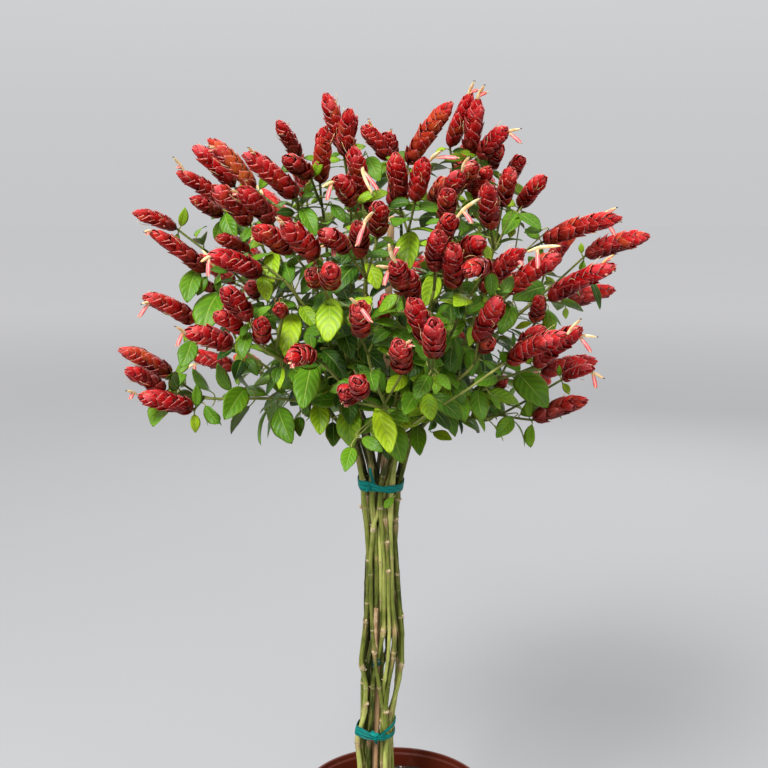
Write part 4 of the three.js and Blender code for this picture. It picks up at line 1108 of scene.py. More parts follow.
# A spike: a core, pairs of bracts that stand crosswise to the pair below, and the buds at its tip.
def add_spike(piece, spike, rng):
    base, tip, girth, worn = spike["base"], spike["tip"], spike["girth"], spike["worn"]
    length = np.linalg.norm(tip - base)
    scale = min(1.0, 0.62 + length / 160)
    parts = np.linspace(0.02, 0.97, 10)
    core = 0.5 * girth * spike_reach(length, parts) * np.minimum(1, parts * 6 + 0.3)
    add_tube(piece, spike_axis(base, tip, parts), core, 8, (0.62, 0.35, 0))
    pairs = max(5, round((length - LAST_BRACT * scale) / PAIR_PITCH) + 1)
    first = rng.uniform(0, math.pi)
    for pair in range(pairs + 1):
        part = pair / pairs
        start = part * (length - LAST_BRACT * scale)
        swell = math.sin(math.pi * min(1, 0.2 + 0.7 * part))
        size = scale * (11.5 + 8.0 * max(0, swell)) * rng.uniform(0.88, 1.12)
        size = min(size, length - start + 1.5)
        turn = first + (pair % 2) * math.pi / 2 + pair * 0.06 + rng.uniform(-0.1, 0.1)
        for side in (0, math.pi):
            flare = rng.choice(FLARES) * (0.4 + 0.6 * swell)
            add_bract(piece, spike, max(0, start + rng.uniform(-1.2, 1.2)), size,
                      turn + side + rng.uniform(-0.2, 0.2), flare, 1 - part + worn, rng)
    for inner, size in TIP_BUDS:
        turn += math.pi / 2 + rng.uniform(-0.2, 0.2)
        bud = {**spike, "girth": girth * inner, "columns": 5}
        for side in (0, math.pi):
            add_bract(piece, bud, length - size * scale, size * scale + 0.8, turn + side, 0, worn, rng)


# A thin pale style that curls out from between the bracts.
def add_filament(piece, spike, finish, rng):
    base, tip = spike["base"], spike["tip"]
    length = np.linalg.norm(tip - base)
    part = rng.uniform(0.3, 0.9)
    way = spike_way(base, tip, part)
    out, side = frame_at(way, spike["front"], rng.uniform(-2.0, 2.0))
    root = spike_axis(base, tip, part) + out * spike_reach(length, part) * 0.85
    size = rng.uniform(7, 15)
    bend = rng.uniform(-0.7, 0.7)
    line = smooth_line([root, root + out * 1.6 + way * 0.35 * size,
                        root + out * 2.4 + way * 0.75 * size + side * bend * 0.3 * size,
                        root + out * 1.8 + way * size + side * bend * 0.75 * size], 2.2)
    add_tube(piece, line, np.linspace(0.3, 0.18, len(line)), 4, (0.1, rng.uniform(), 0), finish)


# ---------------------------------------------------------------- corollas
# (where it leaves its spike, end of its upper lip, end of its lower lip) on the sheet.
COROLLAS = [
    ((186, 171), (174, 158), (177, 168)), ((217, 153), (209, 147), (210, 151)),
    ((258, 154), (249, 148), (252, 153)), ((270, 228), (260, 230), (264, 236)),
    ((172, 231), (158, 218), (163, 226)), ((152, 231), (145, 232), (147, 235)),
    ((213, 256), (201, 262), (208, 276)), ((341, 128), (332, 106), (330, 118)),
    ((337, 118), (335, 101), (331, 112)), ((335, 183), (322, 187), (327, 200)),
    ((434, 162), (441, 151), (458, 158)), ((468, 98), (474, 82), (478, 90)),
    ((476, 103), (484, 86), (487, 92)), ((504, 136), (520, 129), (521, 143)),
    ((462, 172), (469, 157), (472, 164)), ((472, 181), (481, 168), (479, 177)),
    ((600, 214), (616, 208), (613, 211)), ((598, 219), (620, 222), (615, 235)),
    ((600, 261), (614, 255), (611, 259)), ((598, 270), (614, 271), (607, 275)),
    ((508, 257), (524, 250), (523, 265)), ((530, 253), (560, 246), (538, 268)),
    ((460, 218), (479, 199), (472, 223)), ((568, 334), (580, 320), (576, 328)),
    ((573, 339), (596, 337), (591, 352)), ((588, 374), (603, 378), (596, 388)),
    ((338, 248), (319, 247), (334, 256)), ((364, 226), (373, 212), (357, 246)),
    ((362, 308), (350, 298), (371, 322)), ((397, 263), (389, 244), (398, 247)),
    ((393, 272), (376, 266), (384, 285)), ((154, 303), (142, 304), (139, 317)),
    ((186, 336), (176, 327), (177, 346)), ((136, 393), (127, 391), (130, 399)),
    ((200, 366), (184, 370), (194, 374)), ((297, 362), (289, 364), (292, 368)),
    ((365, 158), (372, 193), (378, 190)), ((376, 134), (369, 120), (372, 126)),
    ((388, 143), (391, 130), (388, 134)), ((239, 198), (231, 190), (234, 195)),
    ((256, 192), (246, 180), (250, 187)), ((285, 226), (276, 217), (280, 222)),
    ((288, 138), (283, 124), (281, 134)), ((350, 399), (342, 404), (346, 407)),
    ((406, 350), (411, 340), (413, 346)),
]
TUBE_SHARE = 0.30


# A slender two-lipped flower: a tube that runs on into a narrow hood, and a striped lower lip
# with three short lobes.
def add_corolla(piece, root, upper, lower, finish, rng):
    chance = rng.uniform()
    rest = upper - root
    eye = towards(root, EYE)
    bow = unit(np.cross(np.cross(rest, lower - root), rest)) * -0.06 * np.linalg.norm(rest)
    spine = smooth_line([root, root + rest * 0.35 + bow, root + rest * 0.7 + bow * 0.8, upper], 1.6)
    parts = np.linspace(0, 1, len(spine))
    thick = np.interp(parts, [0, 0.3, 0.6, 0.9, 1], [1.15, 1.9, 1.75, 1.25, 0.7])
    add_tube(piece, spine, thick, 10, (0.05, chance, 0), finish, squash=0.8)
    throat = root + rest * TUBE_SHARE + bow
    bend = throat + (lower - throat) * 0.5 + eye * 1.5 + UP * 0.6
    lip = smooth_line([throat, bend, lower], 1.4)
    parts = np.linspace(0, 1, len(lip))
    lobes = np.interp(parts, [0, 0.25, 0.7, 0.9, 1], [1.3, 1.7, 2.2, 1.9, 1.0])
    add_blade(piece, lip, unit(UP * 0.4 + eye), lobes, 7, 0.4, 0.15, -0.3,
              (0.10, 2.0, chance), (1.0, chance, 0), finish)
    for side in (-1, 1):
        sway = unit(np.cross(rest, UP)) * side
        lobe = lower + np.linspace(-2.2, 0.4, 5)[:, None] * towards(throat, lower)
        lobe = lobe + sway * np.linspace(0.6, 1.7, 5)[:, None]
        add_tube(piece, lobe, [0.5, 0.85, 0.95, 0.8, 0.4], 6, (0.75, chance, 0), finish, squash=0.6)
        stamen = smooth_line([throat, (throat + upper) / 2 + sway * 1.2 - UP * 0.6,
                              upper + sway * 0.8 + rest * 0.06], 2.5)
        add_tube(piece, stamen, 0.26, 5, (0.25, chance, 0), finish)
        head = stamen[-1] + towards(throat, upper) * np.linspace(-0.6, 0.7, 4)[:, None]
        add_tube(piece, head, [0.25, 0.55, 0.55, 0.25], 6, (0.2, chance, 1), finish)


# The spike that carries a corolla: the nearest one to the eye under its mark.
def carrier(mark):
    best = None
    for spray in sprays:
        for base, tip in spray["spikes"]:
            parts = np.linspace(0, 1, 24)
            line = spike_axis(base, tip, parts)
            offsets = np.linalg.norm(seen_at(line) - mark, axis=1)
            k = int(np.argmin(offsets))
            cost = offsets[k] + 0.03 * (line[k][1] + 250)
            if offsets[k] < 16 and (best is None or cost < best[0]):
                best = (cost, spray, line[k])
    return best


corollas = {}
for root_mark, upper_mark, lower_mark in COROLLAS:
    found = carrier(root_mark)
    if found is None:
        continue
    _, spray, middle = found
    root_point = middle + (place(*root_mark, middle[1]) - middle) * 0.6
    ends = [place(*mark, middle[1] - 12.5) for mark in (upper_mark, lower_mark)]
    corollas.setdefault(spray["node"], []).append((root_point, *ends))

# ---------------------------------------------------------------- sprays
EVERY_SPIKE = np.array([[base, tip] for spray in sprays for base, tip in spray["spikes"]])
# The room that a small leaf keeps round the axis of any spike.
LEAF_ROOM = 11.5
# How much of a marked leaf's width the small leaves before it keep clear, and how much of its ends
# they may cover.
HIDING_PART = 0.85
LEAF_ENDS = 0.1
# The places of the materials in a spray's list. A leaf's stalk takes the place before its blade's.
SPRAY_FINISHES = [BRACT, STEM, STEM, LEAF, COROLLA]
SPRAY_STEM, SPRAY_LEAF, SPRAY_COROLLA = 1, 3, 4


# The distance of each point from each of some straight lines, less a share at both their ends.
def distances(points, starts, ends, trim=0.0):
    ways = ends - starts
    offsets = points[:, None] - starts[None]
    parts = np.clip((offsets * ways).sum(-1) / (ways * ways).sum(-1), trim, 1 - trim)
    return np.linalg.norm(offsets - parts[..., None] * ways, axis=2)


# The least distance from some points to any spike's axis.
def spike_room(points):
    return distances(points, EVERY_SPIKE[:, 0], EVERY_SPIKE[:, 1]).min()


# Whether something at some points would stand before one of the marked leaves, as the eye sees it.
def hides_leaf(points):
    starts, ends = seen_at(SHOWN_LEAVES[:, 0]), seen_at(SHOWN_LEAVES[:, 1])
    halves = HIDING_PART * BLADE["width"] * np.linalg.norm(ends - starts, axis=1)
    within = distances(seen_at(points), starts, ends, LEAF_ENDS) < halves
    middles = SHOWN_LEAVES.mean(1)
    nearer = (np.linalg.norm(points - EYE, axis=1)[:, None]
              < np.linalg.norm(middles - EYE, axis=1)[None] - 3)
    return bool((within & nearer).any())


# Radii of thin green stalks, each from its root to its end.
LEAF_STALK = (0.85, 0.6)
BRANCH_SEEN = (1.75, 1.35)
SPIKE_STALK = {"radius": 1.25, "ends": 1.5}
LEAF_THICKNESS = 0.5


# Half widths along a leaf: ovate at 0, elliptic at 1, with a drawn-out tip.
def leaf_halves(parts, length, kind, narrow):
    low, high = 0.58 + 0.32 * kind, 0.78
    peak = low / (low + high)
    shape = parts ** low * (1 - parts) ** high / (peak ** low * (1 - peak) ** high)
    drip = np.clip((parts - 0.7) / 0.3, 0, 1)
    return np.maximum(narrow * BLADE["width"] * length * shape * (1 - 0.6 * drip * (1 - drip)), 0.55)


# A leaf with its stalk. The blade arches along its length, and its edges lift and ripple.
def add_leaf(piece, root, leaf, rows, columns, rng, finish):
    base, tip, facing = leaf["base"], leaf["tip"], leaf["facing"]
    length = np.linalg.norm(tip - base)
    along = towards(base, tip)
    side = unit(np.cross(along, facing))
    face = np.cross(side, along)
    arch = rng.uniform(0.05, 0.13) * length
    parts = np.linspace(0, 1, rows + 1)
    curl = side * rng.uniform(-0.05, 0.05) * length
    path = (base + (tip - base) * parts[:, None] + face * (arch * 4 * parts * (1 - parts))[:, None]
            + curl * (np.sin(math.pi * parts))[:, None])
    mark = (leaf["tint"] + rng.uniform(-0.08, 0.08), rng.uniform(), 0)
    halves = leaf_halves(parts, length, rng.uniform(), rng.uniform(*leaf.get("girth", LEAF_GIRTH)))
    fold, cup = rng.uniform(0.06, 0.32), rng.uniform(-0.16, 0.10)
    wave = (rng.uniform(0.02, 0.07), rng.uniform(0.8, 1.5), rng.uniform(0, 6))
    add_blade(piece, path, facing, halves, columns, LEAF_THICKNESS, fold, cup, wave, mark, finish)
    reach = np.linalg.norm(base - root)
    if reach > 1.0:
        elbow = base - along * min(0.35 * reach, 8) - face * 0.6
        stalk = smooth_line([root, elbow, base + (path[1] - base) * 0.3], max(2.0, reach / 8))
        add_tube(piece, stalk, np.linspace(*LEAF_STALK, len(stalk)), 5, (0.75, 0, 0), finish - 1)


# A leaf half-way up the stalk of a spike, wherever there is room for it.
def add_stalk_leaf(piece, fork, base, side, rng):
    way = towards(fork, base)
    root = fork + (base - fork) * rng.uniform(0.3, 0.75)
    beside, over = sides_of(way)
    for _ in range(6):
        turn = rng.uniform(-1.2, 1.2)
        out = (beside * math.cos(turn) + over * math.sin(turn)) * side
        start = root + out * rng.uniform(4, 8)
        leaving = unit(out + way * rng.uniform(-0.2, 0.8) - UP * rng.uniform(0, 0.6))
        end = start + leaving * rng.uniform(20, 36)
        line = np.linspace(start, end, 4)
        if spike_room(line) > LEAF_ROOM and not hides_leaf(line):
            facing = unit(UP * 0.8 + unit(root - HEAD_MIDDLE) + rng.normal(0, 0.2, 3))
            tint = np.clip(rng.normal(0.4, 0.2), 0, 1)
            leaf = {"base": start, "tip": end, "facing": facing, "tint": tint}
            add_leaf(piece, root, leaf, 8, 7, rng, SPRAY_LEAF)
            return


# The pair of leaves at the foot of a spike, and those half-way up its stalk.
def add_spike_leaves(piece, fork, base, way, front, rng):
    for side in (-1, 1):
        out = unit(np.cross(way, front)) * side
        root = base - way * 2
        start = root + unit(out - way * 0.2) * 4
        size = rng.uniform(11, 25)
        end = start + unit(out + way * rng.uniform(-0.5, 0.5) - UP * rng.uniform(0, 0.7)) * size
        if not hides_leaf(np.linspace(start, end, 4)):
            facing = unit(unit(front) * 0.8 + UP * 0.7 - way * 0.3)
            leaf = {"base": start, "tip": end, "facing": facing, "tint": rng.uniform(0.35, 0.95)}
            add_leaf(piece, root, leaf, 8, 7, rng, SPRAY_LEAF)
        add_stalk_leaf(piece, fork, base, side, rng)


# The way that a spike's bracts are turned from: to the eye, or to the back in the far sprays.
def spike_front(spray, base, way):
    front = UP * 0.3 + vec(0, 1, 0) if spray["far"] else towards(base, EYE)
    return UP if abs(front @ way) > 0.93 else front


# How far a spike has faded to orange, how worn it is, and its girth, as marked or else as drawn.
def spike_looks(index, number, rng):
    orange = rng.uniform(0, 0.25) ** 1.5
    worn = rng.uniform(-0.16, 0.18)
    girth = rng.uniform(0.90, 1.04)
    if index < len(SPRAYS):
        tip_mark = SPRAYS[index][number + 1][:2]
        orange = FADING.get(tip_mark, orange)
        worn = DARK_WEAR if tip_mark in DARK_SPIKES else worn
        girth = GIRTHS.get(tip_mark, girth)
    return {"orange": orange, "worn": worn, "girth": girth}


# The stalk of a spike, from its fork into the spike's foot.
def add_spike_stalk(piece, fork, base, way):
    stalk = smooth_line([fork, fork + (base - fork) * 0.5 - UP * 0.6, base, base + way * 3], 3.5)
    thick = np.full(len(stalk), SPIKE_STALK["radius"])
    thick[[0, -1]] = SPIKE_STALK["ends"]
    add_tube(piece, stalk, thick, 8, (0.35, 0, 0), SPRAY_STEM)


# A corolla on a far spike: where it leaves the spike, and the ends of its upper and lower lips.
def far_corolla(base, tip, way, rng):
    root = spike_axis(base, tip, 0.72)
    out = unit(np.cross(way, UP)) * rng.choice([-1, 1])
    upper = root + way * 14 + out * 14 + UP * 8
    return root + out * 6, upper, upper - UP * 10 - way * 4


def make_spray(index, spray):
    rng = np.random.default_rng(100 + index)
    piece = Piece()
    flowers = list(corollas.get(spray["node"], []))
    for number, (base, tip) in enumerate(spray["spikes"]):
        way = towards(base, tip)
        front = spike_front(spray, base, way)
        spike = {"base": base, "tip": tip, "front": front, "columns": 5 if spray["far"] else 7,
                 **spike_looks(index, number, rng)}
        add_spike(piece, spike, rng)
        for _ in range(rng.integers(1, 4)):
            add_filament(piece, spike, SPRAY_COROLLA, rng)
        add_spike_stalk(piece, spray["fork"], base, way)
        add_spike_leaves(piece, spray["fork"], base, way, front, rng)
        if spray["far"] and rng.uniform() < 0.5:
            flowers.append(far_corolla(base, tip, way, rng))
    for root, upper, lower in flowers:
        add_corolla(piece, root, upper, lower, SPRAY_COROLLA, rng)
    piece.make(f"{spray['node']}_bloom", [spray["node"]], SPRAY_FINISHES)


for spray_index, spray in enumerate(sprays):
    make_spray(spray_index, spray)

# ---------------------------------------------------------------- canes, branches and leaves
# Marks of the canes' knots, and of cut side shoots as (u, v, radius, how far it stands out).
KNOTS = [(371, 527), (397, 521), (383, 543), (396, 592), (403, 617), (366, 620), (394, 658), (361, 667),
         (403, 665), (357, 742), (383, 631), (373, 653), (369, 560), (390, 571), (368, 604), (386, 520)]
STUBS = [(361, 508, 1.5, 3.6), (401, 501, 1.1, 2.4), (388, 541, 2.2, 1.0), (389, 571, 2.2, 1.2),
         (396, 573, 1.5, 1.0), (403, 617, 1.5, 1.4), (383, 631, 2.0, 1.0), (373, 653, 2.1, 1.2),
         (366, 620, 1.2, 2.2), (388, 713, 2.6, 1.2), (368, 705, 2.2, 1.4), (361, 667, 1.7, 1.2),
         (403, 665, 1.6, 1.3), (396, 592, 1.8, 1.2), (380, 720, 1.4, 1.0), (371, 526, 1.8, 1.2),
         (397, 520, 2.0, 1.2)]
# Each cane's tint. The canes of the back layer have low tints, painted shade for the inside of the
# bundle.
CANE_TINTS_WITH_BACK_SHADE = [0.60, 0.42, 0.66, 0.35, 0.58, 0.30, 0.24, 0.34, 0.28]
# The bark that is seen is a little thinner than the solid cane.
SEEN_RADIUS = CANE["radius"] * 0.83
JOINT_RADIUS = 6.0
CANE_STEP = 3.4
# Thin canes between the others: the layer they keep to, their radius and their marks.
THIN_CANES = [
    (-1.5, 2.3, [385, 384.5, 383, 379, 375, 372.5, 371, 370.5, 373, 380, 387, 393, 399]),
    (-1.3, 2.1, [382, 381.5, 382, 384, 388, 389.5, 388.5, 388, 386.5, 384, 380, 372, 364]),
    (-0.4, 2.2, [364, 361, 362.5, 362.5, 364.5, 366, 365.5, 367, 370.5, 376, 377, 378.5, 382]),
    (0.4, 2.2, [392, 391, 393, 397, 400.5, 400, 397, 393.5, 396.5, 394.5, 396, 400.5, 405.5]),
    (-0.3, 2.0, [383, 382, 384, 381.5, 382.5, 380.5, 381, 380.5, 379, 388, 390, 391, 394]),
    (1.5, 2.3, [372, 371, 374, 376, 384, 392, 393, 388, 385, 371, 373, 368, 361]),
    (1.6, 2.2, [384, 385, 381, 373, 371, 374, 373.5, 374, 376, 385, 381, 384, 386]),
    (0.6, 2.1, [366, 365, 366, 368, 366, 367.5, 369, 372, 371, 369, 366, 361, 353]),
]
THIN_TINTS = [0.62, 0.50, 0.26, 0.56, 0.70, 0.30, 0.22, 0.34]
# The marks at which the ties hold the canes close together.
TIED_MARKS = {1, 2, 9, 10, 11}
# The upper part of a cane, in the crown, thins out, turns woody and is painted darker, as shade under the
# head.
CROWN_PART = 108
# Buds stand on some of the knots between these two heights.
BARE_PART = (180, 560)
BUD_CHANCE = 0.45
# The radius of a cut side shoot, its scar and its wood, from its root to the cut.
STUB_SWELL = [1.5, 1.45, 1.3, 1.12, 1.0, 1.0, 0.92, 0.7]
STUB_SCARS = [0, 0, 0.2, 0.6, 1, 0.5, 0, 0]
STUB_WOOD = [0.2, 0.3, 0.5, 0.8, 0.9, 1.0, 1.9, 2]
TWIG = {"step": 21, "jitter": 4, "first": 0.14, "last": 0.98}
LOWEST_TIP = 585
HEAD_HALVES = [280, 250, 230]
STEM_LEAF = 1
# A leaf's root, base and tip, and two single shoots, as marks with their depths.
LOW_LEAF = [(394.5, 494, -9), (393.5, 498, -15), (384, 508, -17)]
DEAD_SHOOT = [(375.8, 653, -13), (375.4, 640, -15.5), (375.3, 622, -16), (376.2, 608, -14.5)]
FRONT_SHOOT = [(397, 446, -6), (405, 430, -62), (430, 413, -128), (465, 391, -168), (492, 372, -150),
               (508, 362, -115)]


# The depth nearest to the wanted one at which a thin cane clears those already placed.
def free_depth(u, v, wanted, radius, taken, most):
    def cost(depth):
        point = place(u, v, depth)
        overlap = max(radius + other + 0.2 - math.hypot(point[0] - x, depth - y) for x, y, other in taken)
        return abs(depth - wanted) + 12 * max(0, overlap) + 8 * max(0, abs(depth) - most)

    return min((wanted + shift for shift in np.arange(-16, 16.5, 0.5)), key=cost)


# The start of the branch that a thin cane runs into: the nearest one that lies above it.
def branch_over(point):
    starts = [bezier(branch["knots"], 0.1) for stem in stems for branch in stem["branches"]]
    return min(starts, key=lambda start: np.linalg.norm(start - point) + 200 * (start[2] < point[2] + 8))


def thin_cane_lines():
    placed = [[(*point[:2], SEEN_RADIUS) for point in line[2:]] for line in cane_lines]
    lines = []
    for layer, radius, across in THIN_CANES:
        points = []
        for index, (u, v) in enumerate(zip(across, CANE_MARKS)):
            spacing = LAYER_SPACING[index]
            stake = at_stake(place(u, v, 0)[2])
            taken = [cane[index] for cane in placed] + [(stake[0], stake[1], STAKE["radius"])]
            most = 0.9 * spacing if index in TIED_MARKS else 2 * spacing
            depth = free_depth(u, v, max(-most, min(most, layer * spacing)), radius, taken, most)
            points.append(place(u, v, depth))
        placed.append([(*point[:2], radius) for point in points])
        foot = vec(points[0][0], points[0][1], FOOT)
        lines.append([foot, vec(foot[0], foot[1], SOIL_TOP), *points, branch_over(points[-1])])
    return lines


def at_stake(z):
    low, high = place(*STAKE["low"], 0), place(*STAKE["high"], 0)
    return low + (high - low) * (z - low[2]) / (high[2] - low[2])


# Where a cane bends at a joint it has a knot.
def joint_arcs(path, line):
    arc = lengths_along(path)
    found = []
    for before, corner, after in zip(line[1:], line[2:], line[3:]):
        turn = math.degrees(math.acos(min(1, towards(before, corner) @ towards(corner, after))))
        if turn > 6.5:
            found.append(arc[int(np.argmin(np.linalg.norm(path - corner, axis=1)))])
    return found


# The knots of a cane: those given, and more between them wherever there is a long bare stretch.
def all_knots(knot_arcs, length, rng):
    knot_arcs = list(knot_arcs)
    at = rng.uniform(20, 60)
    while at < length - 20:
        if all(abs(at - other) > 20 for other in knot_arcs):
            knot_arcs.append(at)
        at += rng.uniform(36, 62)
    return knot_arcs


# A small dry bud that stands out of a knot.
def add_bud(piece, point, radius, tint, rng):
    turn = rng.uniform(0, 2 * math.pi)
    out = vec(math.cos(turn), math.sin(turn), rng.uniform(0.3, 1.2))
    bud = point + unit(out) * np.linspace(0, radius + rng.uniform(0.8, 2.4), 5)[:, None]
    add_tube(piece, bud, rng.uniform(0.8, 1.4) * np.array([1.4, 1.3, 1.1, 0.9, 0.5]), 7,
             (tint, rng.uniform(0.3, 1), rng.uniform(0.3, 1)), 0)


# A jointed cane with a swelling and a scar at each knot, and bark that turns woody near them.
def add_cane(piece, path, radius, end_radius, knot_arcs, tint, sides, rng):
    arc = lengths_along(path)
    knot_arcs = all_knots(knot_arcs, arc[-1], rng)
    radii = np.interp(arc, [0, arc[-1] - CROWN_PART, arc[-1] - 0.5 * CROWN_PART, arc[-1]],
                      [radius, radius, 0.84 * radius, 0.80 * end_radius])
    radii = radii * (0.97 + 0.04 * np.sin(arc / 37 + tint * 9))
    scars = np.zeros(len(path))
    wood = np.zeros(len(path))
    for knot in knot_arcs:
        strong = rng.uniform(0.5, 1.0)
        radii += radius * strong * (0.24 * hump(arc, knot, 2.8) + 0.12 * hump(arc - knot, 3.2, 1.8))
        scars = np.maximum(scars, hump(arc, knot, 1.5) * rng.uniform(0.6, 1.0))
        woody = np.exp(-np.abs(arc - knot + 2) / rng.uniform(3, 14)) * rng.uniform(0.0, 0.75)
        wood = np.maximum(wood, woody)
    # Painted shade: the part of the cane in the crown is darkened.
    shaded = np.clip((arc - arc[-1] + CROWN_PART) / 30, 0, 1)
    wood = np.maximum(wood, 0.22 * shaded * (1.1 - tint))
    tints = tint + 0.30 * np.sin(arc / 60 + tint * 20) - 0.45 * shaded
    for knot in knot_arcs:
        k = int(np.searchsorted(arc, knot)) - 1
        if rng.uniform() < BUD_CHANCE and BARE_PART[0] < path[k][2] < BARE_PART[1]:
            add_bud(piece, path[k], radius, tint, rng)
    around = turns_round(sides)
    wobble = (1 + 0.05 * np.sin(2 * around + arc[:, None] / 55)
              + 0.03 * np.sin(3 * around - arc[:, None] / 31))
    add_tube(piece, path, radii[:, None] * wobble, sides, stacked(tints, scars, wood), 0)


cane_paths = {stem["node"]: jointed_line(stem["line"], JOINT_RADIUS, CANE_STEP) for stem in stems}
cane_index = {node: int(node.split("_")[1]) - 1 for node in cane_paths}
thin_lines = thin_cane_lines()
for thin_index, thin_line in enumerate(thin_lines):
    cane_paths[f"thin_{thin_index + 1}"] = jointed_line(thin_line, JOINT_RADIUS, CANE_STEP)
knot_places = {node: [] for node in cane_paths}
stub_places = {node: [] for node in cane_paths}


# The cane under a mark that is nearest the eye, and the number of its nearest point.
def cane_at(u, v):
    best = None
    for node, path in cane_paths.items():
        offsets = np.linalg.norm(seen_at(path) - [u, v], axis=1)
        k = int(np.argmin(offsets))
        cost = offsets[k] + 0.25 * path[k][1]
        if offsets[k] < 6 and (best is None or cost < best[0]):
            best = (cost, node, k)
    return best


for u, v in KNOTS:
    found = cane_at(u, v)
    if found:
        knot_places[found[1]].append(found[2])
for u, v, radius, reach in STUBS:
    found = cane_at(u, v)
    if found:
        stub_places[found[1]].append((found[2], u, radius, reach))
        knot_places[found[1]].append(found[2])


# A cut side shoot with a pale end.
def add_stub(piece, point, u, cane_radius, radius, reach, tint):
    aside = ACROSS * (u - seen_at(point)[0]) * 0.35
    way = unit(towards(point, EYE) * 0.8 + aside + UP * 0.3)
    end = cane_radius + reach
    line = point + way * np.append(np.linspace(0, end, 7), end + 0.15)[:, None]
    add_tube(piece, line, radius * np.array(STUB_SWELL), 12, stacked(tint, STUB_SCARS, STUB_WOOD), 0)


def knot_arcs_of(node, line, rng):
    arc = lengths_along(cane_paths[node])
    bends = [at + rng.uniform(-10, 10) for at in joint_arcs(cane_paths[node], line)]
    return [arc[k] for k in knot_places[node]] + bends


# A branch from its cane to the fork that it carries, swollen a little at its joints.
def add_branch(piece, branch, rng):
    line = np.array([bezier(branch["knots"], part) for part in np.linspace(0, 1, 22)])
    line = np.concatenate([line[:1] - (line[1] - line[0]) * 0.3, line, [branch["spray"]["fork"]]])
    arc = lengths_along(line)
    swell = np.zeros(len(line))
    for knot in np.arange(18, arc[-1], rng.uniform(26, 34)):
        swell = np.maximum(swell, hump(arc, knot, 2.6))
    add_tube(piece, line, np.linspace(*BRANCH_SEEN, len(line)) + 0.5 * swell, 8,
             stacked(rng.uniform(0.2, 0.75), swell * 0.5, 0), 0)


# A free place for a leaf at a point of a twig, as the two ends of its blade, or None.
def twig_leaf_ends(point, way, first_angle, full, rng):
    beside, over = sides_of(way)
    for attempt in range(5):
        angle = first_angle + attempt * 0.45 * (-1) ** attempt
        lean = rng.uniform(0.25, 0.8)
        out = unit(beside * math.cos(angle) + over * math.sin(angle) + way * lean)
        size = rng.uniform(22, 47) * full
        start = point + out * rng.uniform(5, 12)
        droop = UP * rng.uniform(0.1, 0.6)
        end = start + unit(out - droop) * size
        middle = (start + end) / 2
        wide = unit(np.cross(end - start, UP)) * 0.22 * size
        tests = np.array([start, middle, end, middle + wide, middle - wide, (middle + end) / 2])
        if spike_room(tests) > LEAF_ROOM and end[2] > LOWEST_TIP and not hides_leaf(tests):
            return start, end
    return None


# Pairs of small leaves along a branch, painted darker towards the inside of the head as shade, and paler
# towards the outside.
def add_twig_leaves(piece, branch, rng):
    line = np.array([bezier(branch["knots"], part) for part in np.linspace(0, 1, 40)])
    arc = lengths_along(line)
    total = arc[-1]
    at = TWIG["first"] * total + rng.uniform(0, 8)
    pair = 0
    while at < TWIG["last"] * total:
        k = int(np.searchsorted(arc, at))
        point, way = line[k], unit(line[min(k + 1, 39)] - line[k - 1])
        turn = pair * math.pi / 2 + rng.uniform(-0.4, 0.4)
        full = 0.72 + 0.28 * math.sin(math.pi * at / total)
        for side in (0, math.pi):
            ends = twig_leaf_ends(point, way, turn + side, full, rng)
            if ends is None:
                continue
            start, end = ends
            facing = unit(UP * 0.75 + unit(point - HEAD_MIDDLE) + rng.normal(0, 0.22, 3))
            # Painted shade: leaves deeper inside the head get a darker tint.
            outside = np.linalg.norm(((start + end) / 2 - HEAD_MIDDLE - vec(0, 0, 60)) / HEAD_HALVES)
            tint = np.clip(0.09 + 0.5 * outside + rng.normal(0, 0.24), -0.05, 1.0)
            leaf = {"base": start, "tip": end, "facing": facing, "tint": tint}
            add_leaf(piece, point, leaf, 9, 7, rng, STEM_LEAF)
        at += TWIG["step"] + rng.uniform(-TWIG["jitter"], TWIG["jitter"])
        pair += 1


def make_stem(stem):
    node = stem["node"]
    number = cane_index[node]
    rng = np.random.default_rng(300 + number)
    piece = Piece()
    path = cane_paths[node]
    tint = CANE_TINTS_WITH_BACK_SHADE[number]
    add_cane(piece, path, SEEN_RADIUS, CANE["end_radius"], knot_arcs_of(node, stem["line"], rng),
             tint, 14, rng)
    for k, u, radius, reach in stub_places[node]:
        add_stub(piece, path[k], u, SEEN_RADIUS, radius, reach, tint)
    for branch in stem["branches"]:
        add_branch(piece, branch, rng)
        add_twig_leaves(piece, branch, rng)
    for leaf in stem["leaves"]:
        add_leaf(piece, leaf["perch"]["point"], leaf, 15, 11, rng, STEM_LEAF)
    piece.make(f"{node}_growth", [node], [STEM, LEAF])


def make_thin_cane(number, line):
    node = f"thin_{number + 1}"
    rng = np.random.default_rng(400 + number)
    radius = THIN_CANES[number][1]
    tint = THIN_TINTS[number]
    piece = Piece()
    path = cane_paths[node]
    add_cane(piece, path, radius, radius * 0.85, knot_arcs_of(node, line, rng), tint, 10, rng)
    for k, u, stub_radius, reach in stub_places[node]:
        add_stub(piece, path[k], u, radius, stub_radius * 0.85, reach, tint)
    piece.make(f"thin_cane_{number + 1}", [], [STEM])


# A small leaf on the bundle, under the upper tie.
def make_low_leaf():
    piece = Piece()
    root, base, tip = [place(*mark) for mark in LOW_LEAF]
    leaf = {"base": base, "tip": tip, "facing": unit(UP * 0.6 - vec(0, 1, 0)), "tint": 0.55}
    add_leaf(piece, root, leaf, 11, 9, np.random.default_rng(9), STEM_LEAF)
    piece.make("low_leaf", [], [STEM, LEAF])


# A dead side shoot, dried pale, that stands along the front of the bundle.
def make_dead_shoot():
    piece = Piece()
    line = smooth_line([place(*mark) for mark in DEAD_SHOOT], 2.5)
    parts = np.linspace(0, 1, len(line))
    scars = hump(parts, 0.75, 0.05) + hump(parts, 0, 0.06)
    wood = 0.85 + 0.7 * np.sin(parts * 9) ** 2
    add_tube(piece, line, 2.1 + 0.35 * np.sin(parts * 11) ** 2, 12, stacked(0.5, scars, wood))
    piece.make("dead_shoot", [], [STEM])


